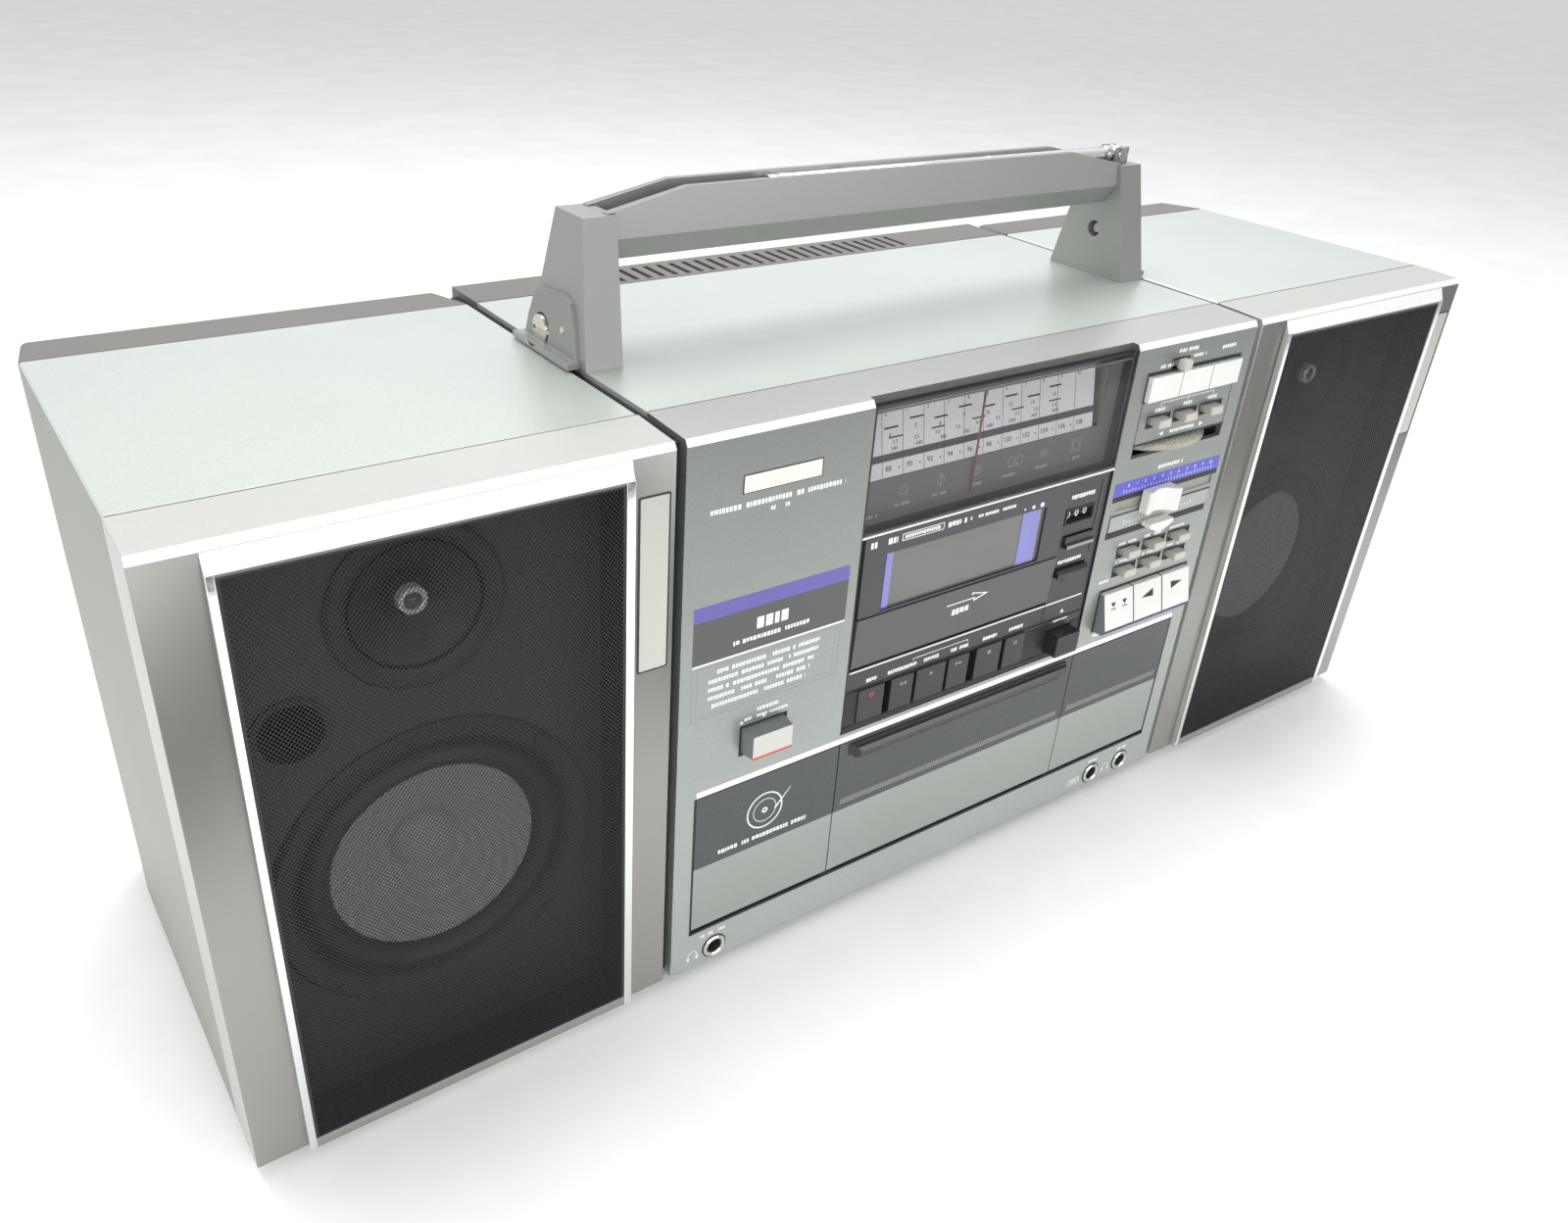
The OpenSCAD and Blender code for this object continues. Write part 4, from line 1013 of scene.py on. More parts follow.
def make_sockets():
    """Ringed front sockets with their small marks."""
    rings, sleeves = Shape(), Shape()
    for x in SOCKET_X:
        rings.turned(
            [(3.9, -0.5), (4.5, -1.1), (5.2, -1.1), (5.8, -0.5), (5.8, 0.1), (4.4, 0.4), (4.4, 20),
             (3.9, 20)],
            (x, 0, SOCKET_Z), steps=40,
        )
        sleeves.turned(
            [(3.2, 0.1), (3.5, -0.4), (3.9, -0.4), (3.9, 26), (3.2, 26)], (x, 0, SOCKET_Z), steps=32
        )
        sleeves.turned([(0, 14), (3.3, 14), (3.3, 16), (0, 16)], (x, 0, SOCKET_Z), steps=24)
    rings.piece("socket_rings", NICKEL, slot="screw_metal", replaces=["jack_sockets"])
    sleeves.piece("socket_sleeves", BLACK, slot="deck_plastic")
    seams = Shape()
    for x in SOCKET_X:
        hoop(seams, x, SOCKET_Z, 6.5, 5.8, -0.1)
    seams.piece("socket_seams", PRINT_BLACK, slot="deck_plastic")
    icons = Shape()
    for x in (-151, 126):
        arc = [(x + 2.6 * math.cos(math.radians(a)), 7 + 2.6 * math.sin(math.radians(a)))
               for a in range(-20, 201, 20)]
        inner = [(x + 2.2 * math.cos(math.radians(a)), 7 + 2.2 * math.sin(math.radians(a)))
                 for a in range(200, -21, -20)]
        icons.prism(arc + inner, "y", -0.08, 0.02)
        line(icons, x - 2.9, x - 1.7, 4.4, 6.4)
        line(icons, x + 1.7, x + 2.9, 4.4, 6.4)
    frame_lines(icons, 95.5, 104.5, 4.6, 8.6, 0.3)
    all_marks(icons, (
        (96.4, 103.8, 6.6, 1.8, 31), (-147, -131, 16.4, 1.7, 32),
        (110, 117, 16.0, 1.6, 33), (134, 141, 16.0, 1.6, 34),
    ))
    icons.piece("socket_marks", PRINT_WHITE, slot="button_white")


def make_terminals():
    """The mains inlet and the speaker terminals, at the rear."""
    inlet = Shape().box(105, 131, BODY_D - 18, BODY_D + 0.6, 140, 156)
    inlet.cut(Shape().box(110, 126, BODY_D - 14, BODY_D + 2, 144, 152))
    inlet.piece("mains_inlet", BLACK, slot="deck_plastic", bevel=0.6)
    pins = Shape()
    for x in (114.5, 121.5):
        pins.rod(x, BODY_D, 148, 1.2, -13.5, -3, edge=0.5)
    pins.piece("inlet_pins", NICKEL, slot="screw_metal")
    for name, centre in (("left", -50), ("right", 50)):
        block = Shape().box(centre - 22, centre + 22, BODY_D - 10, BODY_D + 0.4, 140, 156)
        for x in (centre - 10, centre + 10):
            block.cut(Shape().box(x - 5, x + 5, BODY_D - 7, BODY_D + 2, 143.5, 152.5))
        block.piece(f"terminal_block_{name}", BLACK, slot="deck_plastic", bevel=0.5)
        for tone, x, material in (("red", centre - 10, PRINT_RED), ("black", centre + 10, KEY_BLACK)):
            lever = Shape().prism(
                [(BODY_D - 6, 144.5), (BODY_D - 1, 144), (BODY_D + 2.4, 150.5), (BODY_D + 1.2, 152),
                 (BODY_D - 6, 152)], "x", x - 3.8, x + 3.8,
            )
            lever.piece(f"terminal_lever_{name}_{tone}", material, slot="tweeter_black", bevel=0.5)


def make_rear():
    """Battery cover with its seam and grip ribs, the terminal panel, and the case screws."""
    back = BODY_D + 0.05
    cover = Shape().prism(rounded(-95, 95, 24, 104, 4, 5), "y", back - 0.6, back + 1.2)
    cover.piece("battery_cover", CASE_BROWN, slot="case_plastic", bevel=0.6)
    seam = Shape().plate(rounded(-96, 96, 23, 105, 4.6, 5), [rounded(-95, 95, 24, 104, 4, 5)],
                         back - 0.4, back + 0.06)
    seam.piece("battery_cover_seam", BLACK, slot="case_plastic")
    ribs = Shape()
    for side in (-1, 1):
        for i in range(6):
            ribs.box(side * 60 - 14, side * 60 + 14, back + 1, back + 2.1, 88 + i * 2.4, 89.2 + i * 2.4)
    ribs.piece("battery_cover_ribs", CASE_BROWN, slot="case_plastic", bevel=0.25)
    panel = Shape().plate(
        rounded(-84, 142, 132, 164, 3, 4),
        [rounded(104.6, 131.4, 139.6, 156.4, 0.6, 2), rounded(-72.4, -27.6, 139.6, 156.4, 0.6, 2),
         rounded(27.6, 72.4, 139.6, 156.4, 0.6, 2)],
        back - 0.2, back + 0.5,
    )
    panel.piece("terminal_panel", DECK, slot="deck_plastic", bevel=0.15)
    screws("case_screws", [
        (x, back + 0.2, z) for x, z in
        ((-148, 14), (148, 14), (-148, 248), (148, 248), (0, 248), (-118, 118), (118, 118))
    ])


# ---- Radio dial ----

DIAL_LOW = (6.9, 221.7)        # y and z of the scale's lower edge
DIAL_HIGH = (11.9, 249.5)
DIAL_LEAN = (DIAL_HIGH[0] - DIAL_LOW[0]) / (DIAL_HIGH[1] - DIAL_LOW[1])
SCALE_X0, SCALE_PITCH = -63.0, 11.3


def make_dial():
    """Leaning scale behind the smoked window, with logging digits, wave bands and an icon panel."""
    paint_node("dial_window", SMOKED)
    low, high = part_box("dial_pointer")
    middle = (low.x + high.x) / 2 / MM
    needle = Shape().box(middle - 0.3, middle + 0.3, 5, 5.8, 206, 252)
    needle.piece("pointer_needle", POINTER_AMBER, "dial_pointer", "pointer_red", bevel=0.08,
                 replaces=["dial_pointer"])
    Shape().box(middle - 4.6, middle + 4.6, 7.4, 9.5, 205.5, 209.5).piece(
        "pointer_clip", BLACK, "dial_pointer", "key_black", bevel=0.3
    )
    z0, z1 = DIAL_LOW[1], DIAL_HIGH[1]

    def on_scale(shape):
        for vertex in shape.bm.verts:
            vertex.co.y += DIAL_LOW[0] + DIAL_LEAN * (vertex.co.z - z0)
        return shape

    on_scale(Shape().box(-76, 62.6, 0, 0.5, z0, z1)).piece(
        "dial_scale", SCALE_LILAC, slot="smoked_window"
    )
    on_scale(Shape().box(-76, 62.8, -0.08, 0.02, 228.5, 231.5)).piece(
        "dial_divider", LABEL_GREY, slot="smoked_window"
    )
    ink = Shape()
    for i in range(11):
        x = SCALE_X0 + i * SCALE_PITCH
        line(ink, x - 0.09, x + 0.09, z0 + 0.3, z1 - 0.6)
        ink.lettering(str(i), x + 2.2, 247.4, 2.3)
        ink.lettering(str(88 + 2 * i), x + 3.4, 225.2, 3.3)
        if i < 10:
            ink.prism(ring(x + SCALE_PITCH - 2.2, 225.0, 0.42, 10), "y", -0.08, 0.02)
    # Short bars with their numbers, which step up from left to right in two rows
    for i, number in enumerate((6, 7, 8, 9, 10, 12, 14, 15)):
        x = SCALE_X0 + 1.2 + i * 13.6
        line(ink, x, x + 7.5, 241.6 + (i % 2) * 2.2, 242.3 + (i % 2) * 2.2, -0.1)
        ink.lettering(str(number), x + 3.2, 239.0 + (i % 2) * 1.4, 2.4)
    for i, number in enumerate(("2.3", "2.5", "3.0", "3.5", "4.0", "4.5", "5.0", "5.5", "6.0")):
        x = SCALE_X0 + 5.5 + i * 11.6
        if i % 2 == 0:
            line(ink, x - 2, x + 5.5, 237.6, 238.2, -0.1)
        ink.lettering(number, x + 1.5, 235.8, 2.3)
    for i, number in enumerate((540, 600, 700, 800, 1000, 1200, 1400, 1600)):
        ink.lettering(str(number), SCALE_X0 + 6.5 + i * 13.4, 233.2, 2.3)
    on_scale(ink).piece("dial_ink", PRINT_BLACK, slot="smoked_window")

    for name, place in (
        ("dial_side_panel", (66.8, 75.4, 6.6, 7.0, z0 - 0.2, 251)),
        ("dial_back", (-76.2, 76.2, 12.3, 12.9, z0 - 2, 255)),
        ("dial_icon_panel", (-76, 75.5, 6.6, 7.0, 202, z0 - 0.2)),
    ):
        Shape().box(*place).piece(name, ICON_PANEL, slot="smoked_window")
    icons = Shape()
    near, far = 6.52, 6.62
    middle_z = 214.4
    for i in range(6):
        x = -50.5 + i * 20.8
        hoop(icons, x, middle_z, 2.2, 1.9, near, far)
        if i == 1:
            line(icons, x - 0.2, x + 0.2, 210.8, 218, near, far)
        elif i == 2:
            hoop(icons, x, middle_z, 1.1, 0.9, near, far)
        elif i == 3:
            hoop(icons, x + 5.2, middle_z, 2.2, 1.9, near, far)
            line(icons, x, x + 5.2, 211.9, 212.2, near, far)
        elif i == 4:
            hoop(icons, x, middle_z, 0.8, 0.5, near, far)
        elif i == 5:
            frame_lines(icons, x - 3, x + 3, 211.2, 217.6, 0.25, near, far)
        bar_marks(icons, x - 4, x + 4, 208.0, 1.4, 40 + i, near, far)
    bar_marks(icons, -72, -62, 205.5, 1.5, 50, near, far)
    icons.piece("dial_icons", ICON_INK, slot="smoked_window")

    back = Shape().box(66, 66.5, 6.9, 12.6, 222, 250)
    back.piece("dial_end_line", SIDE_SILVER, slot="smoked_window")
    edges = Shape()
    edges.box(-76.4, 76.2, -0.05, 0.9, 201.3, 202.3)
    edges.box(-76.4, -75.6, -0.05, 1.4, 201.3, TOP_EDGE_Z)
    edges.box(75.6, 76.3, -0.05, 1.4, 201.3, TOP_EDGE_Z)
    edges.piece("window_rim", BLACK_GLOSS, slot="smoked_window", bevel=0.15)
    lip = Shape().box(-75.6, 75.6, 2.1, 3.0, 253.2, 253.8)
    lip.piece("window_lip", SIDE_SILVER, slot="smoked_window", bevel=0.1)
    trim = Shape().box(-76.3, 76.2, -0.35, 0.7, 199.9, 200.9)
    trim.piece("deck_line_upper", PRINT_WHITE, slot="button_white", bevel=0.12)


# ---- Cassette deck ----

KEYS = {
    "record": (-68.6, -53.4), "rewind": (-49.6, -36.0), "play": (-34.4, -16.3),
    "forward": (-14.7, -1.5), "stop": (3.2, 19.7), "pause": (22.0, 35.5),
}
WINDOW_X, WINDOW_Z = (-62.5, 33.3), (163.0, 190.4)


def make_door():
    """Door with a real window: pane, tinted strips, light dots and the fold line."""
    x0, x1 = -74.5, 46.9
    z1 = local_box("cassette_door")[5]
    lower = Shape().prism(
        [(1.6, 135.2), (0.9, 135.8), (0.2, 136.7), (-0.9, 161.3), (3, 161.3), (3, 135.2)], "x", x0, x1
    )
    lower.rod(0, 2.3, 136.7, 1, x0 - 1.6, x1 + 2, "x", 20)
    for edge in (-68.1, 36.7):
        lower.box(edge, edge + 2.2, 3, 14, 138.2, 192)
    for side in (-1, 1):
        centre = -14.6 + side * 42
        lower.box(centre - 8, centre + 8, 3, 14, 136.2, 138.2)
    lower.piece("door_lower", DOOR, "cassette_door", "deck_plastic", bevel=0.25,
                replaces=["cassette_door"])
    upper = Shape().plate(
        corners(x0, x1, 161.9, z1),
        [rounded(*WINDOW_X, *WINDOW_Z, 0.6, 2)], -0.5, 3,
    )
    upper.piece("door_upper", DOOR_DARK, "cassette_door", "deck_plastic", bevel=0.2)
    Shape().box(x0 + 0.5, x1 - 0.5, -0.2, 2.8, 161.1, 162.1).piece(
        "door_fold", BLACK, "cassette_door", "deck_plastic"
    )
    left, right = WINDOW_X
    low, high = WINDOW_Z
    pane = Shape().box(left - 0.8, right + 0.8, 0.9, 2.0, low - 0.8, high + 0.8)
    pane.piece("door_pane", DOOR_PANE, "cassette_door", "smoked_window")
    Shape().box(left - 1.8, left + 0.9, -0.1, 1.6, low, high).piece(
        "window_edge", BLACK_GLOSS, "cassette_door", "smoked_window", bevel=0.1
    )
    strips = Shape()
    strips.box(left + 0.9, left + 5.2, 0.6, 0.95, low, high)
    strips.box(19.5, 31.0, 0.6, 0.95, low, high)
    strips.piece("window_strips", LAVENDER, "cassette_door", "smoked_window", bevel=0.1)
    dots = Shape()
    for x, radius in ((18.5, 0.5), (24.0, 0.9), (29.5, 1.15)):
        dots.rod(x, -0.5, 192.6, radius, -0.25, 0.1, steps=20, edge=0.1)
    dots.piece("door_lights", LIGHT_DOT, "cassette_door", "button_white")
    marks = Shape()
    frame_lines(marks, -54.5, -31, 194.6, 198.0, 0.35, -0.6, -0.48)
    all_marks(marks, (
        (-71.5, -57, 196.2, 2.8, 60), (-53, -33, 196.3, 1.7, 61),
        (-28.5, -17.5, 196.0, 2.4, 62), (-15.5, 12, 196.0, 1.5, 63),
    ), -0.6, -0.48)
    marks.piece("door_marks", PRINT_WHITE, "cassette_door", "button_white")
    arrow = Shape().prism(
        [(-22, 153.6), (-5.5, 153.6), (-5.5, 152.2), (3.5, 154.6), (-7, 157), (-7, 155.6),
         (-6, 155.6), (-6, 156.2), (1, 154.6), (-4.7, 153.1), (-4.7, 154.1), (-22, 154.1)],
        "y", -0.72, -0.5,
    )
    bar_marks(arrow, -18, -6, 149.4, 3.0, 64, -0.6, -0.3)
    arrow.piece("door_arrow", PRINT_WHITE, "cassette_door", "button_white")


def make_deck():
    """Panel, counter, keys with their marks, and painted shade in the gaps between them."""
    paint_node("deck_panel", DECK)
    paint_node("tape_mechanism", BAY_GREY)
    for hub in ("supply_hub", "takeup_hub"):
        paint_node(hub, WHITE_PLASTIC, 0.3)
    # Black plates at the back of the gaps between the keys, and thin black lines above and below the key
    # row: painted shade in the gaps.
    gaps = Shape()
    edges = [-76.2] + [x for key in KEYS.values() for x in key]
    for low, high in zip(edges[0::2], edges[1::2]):
        gaps.box(low + 0.2, high - 0.2, 0.3 if low < -70 else 5, 6.2, 105.8, 123.7)
    gaps.box(36.0, 52.0, 0.5, 0.95, 105.6, 122.0)
    gaps.box(68.8, 76.2, 0.5, 0.95, 103.0, 119.5)
    gaps.box(-76.4, 76.2, 0.45, 0.9, 102.7, 105.2)
    gaps.box(-76.2, 76.2, 0.5, 0.85, 123.4, 124.4)
    gaps.piece("key_gaps", BLACK, slot="key_black")
    for key in KEYS:
        paint_node(f"key_{key}", KEY_BLACK, 0.6, 3)
    paint_node("key_eject", KEY_BLACK, 0.7, 3)
    centres = {key: (a + b) / 2 for key, (a, b) in KEYS.items()}
    mark_z = 119.6
    marks = {
        "rewind": [[(0.2, 0), (2.2, 1), (2.2, -1)], [(-2.0, 0), (0, 1), (0, -1)]],
        "play": [[(-1, 1.1), (1.2, 0), (-1, -1.1)]],
        "forward": [[(-0.2, 0), (-2.2, -1), (-2.2, 1)], [(2.0, 0), (0, -1), (0, 1)]],
        "stop": [[(-1, 1), (1, 1), (1, -1), (-1, -1)]],
        "pause": [[(-1.1, 1), (-0.4, 1), (-0.4, -1), (-1.1, -1)],
                  [(0.4, 1), (1.1, 1), (1.1, -1), (0.4, -1)]],
    }
    for key, outlines in marks.items():
        mark = Shape()
        for outline in outlines:
            mark.prism([(centres[key] + a, mark_z + b) for a, b in outline], "y", -0.56, -0.44)
        mark.piece(f"key_mark_{key}", KEY_MARK, f"key_{key}", "button_white")
    hoop(Shape(), centres["record"], mark_z, 1.25, 0.75, -0.58, -0.44).piece(
        "key_mark_record", PRINT_RED, "key_record", "pointer_red"
    )
    legend = Shape()
    near, far = 0.68, 0.82
    for i, (x, width) in enumerate(((-61, 6), (-43, 17), (-25.5, 9), (-8, 11), (11.5, 9), (28.8, 9))):
        bar_marks(legend, x - width / 2, x + width / 2, 127.2, 1.9, 70 + i, near, far)
    line(legend, -37, -3, 130.1, 130.4, near, far)
    line(legend, -37, -36.7, 129.2, 130.4, near, far)
    line(legend, -3.3, -3, 129.2, 130.4, near, far)
    legend.prism([(59.2, 126.6), (61.8, 126.6), (60.5, 128.8)], "y", near, far)
    all_marks(legend, (
        (55.5, 65.5, 123.0, 1.9, 79), (51, 67, 190.6, 2.2, 80), (50, 66, 156.6, 1.9, 81),
    ), near, far)
    legend.piece("deck_legend", PRINT_WHITE, slot="button_white")
    lines = Shape()
    line(lines, -74.4, 46.4, 133.7, 134.4, 0.55, 0.85)
    line(lines, 47.0, 72.7, 133.7, 134.4, 0.55, 0.85)
    lines.piece("deck_line_lower", PRINT_WHITE, slot="button_white")
    seams = Shape()
    seams.box(46.5, 47.0, 0.7, 0.9, 124, 200.2)
    seams.box(70.6, 71.2, 0.65, 0.9, 158, 196)
    seams.box(-76.5, -76.0, -0.1, 0.9, 102.6, 261 - 4)
    seams.box(75.9, 76.4, -0.1, 0.9, 102.6, 200)
    seams.piece("deck_seams", BLACK, slot="key_black")
    counter = Shape().plate(
        corners(48.8, 68.4, 176.4, 184.6), [corners(50, 67.2, 177.5, 183.5)], 0.35, 1.2
    )
    counter.piece("counter_frame", BLACK, slot="key_black", bevel=0.2)
    drums, digits = Shape(), Shape()
    for i in range(3):
        x = 53 + i * 5.6
        drums.rod(0, 7.2, 180.5, 4.6, x - 2.4, x + 2.4, "x", 40)
        digits.lettering("0", x, 180.5, 5.4, 2.5, 2.7)
    drums.piece("counter_drums", BLACK_GLOSS, slot="key_black")
    digits.piece("counter_digits", PRINT_WHITE, slot="button_white")

    reset = Shape().prism([(1, 170.4), (-0.4, 170.4), (-0.6, 167.2), (-2, 166.4), (-2, 164.6), (10, 164.6),
                           (10, 170.4)], "x", 51, 69.8)
    reset.piece("reset_key", [KEY_BLACK, HANDLE_GREY], "counter_reset_button", "key_black", bevel=0.2,
                replaces=["counter_reset_button"],
                pick=lambda normal, centre: 1 if centre.z < 166.6 and centre.y < -1 else 0)
    mute = Shape().prism([(10, 153.1), (-1.2, 153.1), (-2.5, 151.4), (-2.5, 149.3), (10, 149.3)],
                         "x", 48.5, 69.3)
    mute.box(52, 55, -2.4, -1.7, 147.4, 149.6)
    mute.piece("mute_key", KEY_BLACK, "record_mute_button", "key_black", bevel=0.25,
               replaces=["record_mute_button"])
    ridges = Shape()
    for i in range(6):
        ridges.box(53.6, 67.2, -7.12, -6.9, 108.2 + i * 1.5, 108.7 + i * 1.5)
    ridges.piece("eject_ridges", KEY_BLACK, "key_eject", "key_black")


# ---- Buttons, levers and sliders of the two side panels ----

PANEL_X, BUTTON_PITCH, BUTTON_HALF, LEVER_PITCH = 120.2, 22.2, 10.7, 19.3
ROW_HALF = BUTTON_PITCH + BUTTON_HALF + 0.4


def slot_rim(name, x0, x1, z0, z1, side, top, low=None):
    """Dark rim round an opening, wider where the shadow is."""
    low = side if low is None else low
    shape = Shape().plate(
        corners(x0 - side, x1 + side, z0 - low, z1 + top), [corners(x0, x1, z0, z1)], -0.12, 0.5
    )
    shape.piece(name, BLACK, slot="deck_plastic")


def make_power_button():
    """Long push button with drawn-in sides, a pale face and a red line."""
    button = Shape()
    rear = button.points(rounded(-131, -109, 113, 126, 0.8, 2), "y", 12)
    base = button.points(rounded(-131, -109, 113, 126, 0.8, 2), "y", 0)
    face = button.points(rounded(-130.2, -109.8, 113.8, 125.4, 0.8, 2), "y", -7.5)
    button.bridge(face, base)
    button.bridge(base, rear)
    button.bm.faces.new(face)
    button.bm.faces.new(rear[::-1])
    button.piece("power_key", [BUTTON_GREY, POWER_FACE], "power_button", "button_white", bevel=0.4,
                 pick=lambda normal, centre: 1 if centre.y < -7.4 else 0, replaces=["power_button"])
    Shape().box(-130.0, -110.0, -7.58, -6.9, 113.9, 114.9).piece(
        "power_key_line", PRINT_RED, "power_button", "pointer_red", bevel=0.08
    )
    slot_rim("power_rim", -131.4, -108.6, 112.6, 126.4, 0.7, 0.7)
    marks = Shape()
    for x in (-131.5, -120):
        marks.prism([(x - 1, 128.4), (x + 1, 128.4), (x, 130)], "y", -0.08, 0.02)
    marks.piece("power_marks", PRINT_WHITE, slot="button_white")


def make_tuner_controls():
    """Function buttons, timer and band levers, and the tuning wheel, with their print."""
    for i in (1, 2, 3):
        x = PANEL_X + (i - 2) * BUTTON_PITCH
        cap = Shape().box(x - BUTTON_HALF, x + BUTTON_HALF, -2.5, 12, 231.5, 243.5)
        cap.rod(x, 0, 237.5, 3, 12, 16)
        cap.piece(f"function_cap_{i}", WHITE_PLASTIC, f"function_button_{i}", "button_white",
                  bevel=0.5, segments=3, replaces=[f"function_button_{i}"])
        paint_node(f"band_switch_{i}", LEVER_BEIGE, 0.7, 3)
    for i in range(1, 7):
        paint_node(f"tone_switch_{i}", LEVER_BEIGE, 0.7, 3)
    slot_rim("function_rim", PANEL_X - ROW_HALF, PANEL_X + ROW_HALF, 231.1, 243.9, 0.9, 1.5, 0.4)
    timer = Shape().box(106, 110, -1, 3.4, 245.6, 249.0)
    timer.prism(rounded(105.2, 110.8, 244.9, 249.8, 0.6, 2), "y", -5, -0.6)
    timer.box(104.5, 111.5, 3.4, 6, 244.7, 249.9)
    timer.piece("timer_lever", LEVER_BEIGE, "timer_switch", "lever_metal", bevel=0.5, segments=3,
                replaces=["timer_switch"])
    slot_rim("timer_rim", 102.2, 113.8, 245.4, 249.2, 0.4, 0.9)

    for row, z in (("band", 220), ("tone_upper", 151.2), ("tone_lower", 140.6)):
        for i in (-1, 0, 1):
            x = PANEL_X + i * LEVER_PITCH
            slot_rim(f"{row}_rim_{i + 2}", x - 8.2, x + 8.2, z - 2.5, z + 2.5, 0.35, 0.9)

    marks = Shape()
    for i in (-1, 0, 1):
        x = PANEL_X + i * LEVER_PITCH
        bar_marks(marks, x - 3.6, x + 3.6, 225.6, 1.8, 90 + i)
        line(marks, x - 0.15, x + 0.15, 227.0, 229.0 if i else 231.0)
        bar_marks(marks, x - 7, x + 7, 145.9, 1.6, 100 + i)
        bar_marks(marks, x - 8, x + 5, 156.2, 1.6, 104 + i)
    line(marks, PANEL_X - LEVER_PITCH, PANEL_X + LEVER_PITCH, 228.7, 229.0)
    marks.prism([(104, 212.6), (107, 213.8), (107, 211.4)], "y", -0.08, 0.02)
    marks.prism([(137, 212.6), (134, 213.8), (134, 211.4)], "y", -0.08, 0.02)
    all_marks(marks, (
        (112, 130, 212.6, 1.8, 110), (110, 128, 194.4, 2.0, 111), (94, 103, 247.2, 1.6, 112),
        (117, 126, 249.4, 1.6, 113), (104, 119, 253.2, 1.8, 114), (138, 148, 250.5, 1.8, 115),
        (88, 118, 105.0, 1.9, 116), (124, 150, 105.0, 1.9, 117), (84, 91, 136.8, 1.6, 118),
    ))
    marks.piece("side_marks", PRINT_WHITE, slot="button_white")

    outline = Shape()
    for x in (86.8, 153.2):
        for k in range(11):
            line(outline, x - 0.25, x + 0.25, 208.4 + 2.1 * k, 210.0 + 2.1 * k)
    outline.box(86.5, 154, -0.12, 0.4, 209.2, 210.1)
    outline.piece("tuner_outline", PRINT_BLACK, slot="deck_plastic")

    wheel = Shape().turned(
        [(3, -10), (12, -10), (12, -2.6), (31, -2.7), (36, -2.0), (38.8, -1.0), (39.8, 0), (38.8, 1.0),
         (36, 2.0), (31, 2.7), (3, 2.7)],
        (118.5, 33.5, 206), "z", 128,
    )
    wheel.piece("tuning_wheel", WHEEL_SILVER, "tuning_knob", "knob_silver", replaces=["tuning_knob"])


def make_sliders():
    """Volume and balance sliders with their scales, slits and groove."""
    Shape().box(80.3, 159, -0.12, 0.02, 184.2, 191.2).piece(
        "volume_scale", PRINT_BLUE, slot="silver_paint"
    )
    ticks = Shape()
    for i in range(11):
        x = 90 + i * 6.2
        ticks.lettering(str(i), x, 188.9, 2.6, -0.18, -0.1)
    for i in range(31):
        line(ticks, 87 + i * 2.2, 87.35 + i * 2.2, 185.2, 186.6 if i % 3 else 187.2, -0.18, -0.1)
    for i in range(23):
        line(ticks, 92 + i * 2.3, 92.4 + i * 2.3, 167.8, 169.4 + (i % 11 == 0), -0.28, -0.2)
    ticks.piece("scale_ticks", PRINT_WHITE, slot="button_white")
    # Black plates for the slits: painted shade in the slots and under the groove's lip.
    dark = Shape()
    dark.box(80.3, 159, -0.1, 0.3, 181.4, 184.2)
    dark.box(81.5, 157, -0.1, 0.3, 173.4, 174.1)
    dark.box(81.2, 81.8, -0.1, 0.3, 165.2, 174.1)
    dark.box(80.9, 156, -0.14, 0.3, 161.6, 165.2)
    dark.piece("slider_slits", BLACK, slot="deck_plastic")
    groove = Shape().prism(
        [(-0.12, 174.6), (0.5, 175.4), (0.9, 178), (0.5, 180.8), (-0.1, 181.4), (2.6, 181.4), (2.6, 174.6)],
        "x", 81.2, 158.4,
    )
    groove.piece("volume_groove", SIDE_SILVER, slot="silver_paint")
    Shape().box(81.8, 156, -0.22, 0.02, 165.2, 173.4).piece(
        "balance_plate", GREY_SILVER, slot="silver_paint", bevel=0.1
    )
    saddle = Shape().prism(
        [(-10, -0.3), (-10, -5.2), (-8.8, -6.2), (-6, -5.0), (-2, -3.9), (2.5, -4.6), (6.6, -8.4),
         (8.2, -9.0), (10, -8.6), (10, -0.3)], "z", 172.6, 184.6,
    )
    for vertex in saddle.bm.verts:
        vertex.co.x += 111.5
    saddle.piece("volume_knob", WHITE_PLASTIC, "volume_slider", "button_white", bevel=0.45, segments=3,
                 replaces=["volume_slider"])
    wedge = Shape().prism(
        [(106, 166.6), (124, 166.6), (124, 164.4), (117, 161.2), (113, 161.2), (106, 164.4)],
        "y", -6, -0.3,
    )
    wedge.piece("balance_knob", WHITE_PLASTIC, "balance_slider", "button_white", bevel=0.4, segments=3,
                replaces=["balance_slider"])


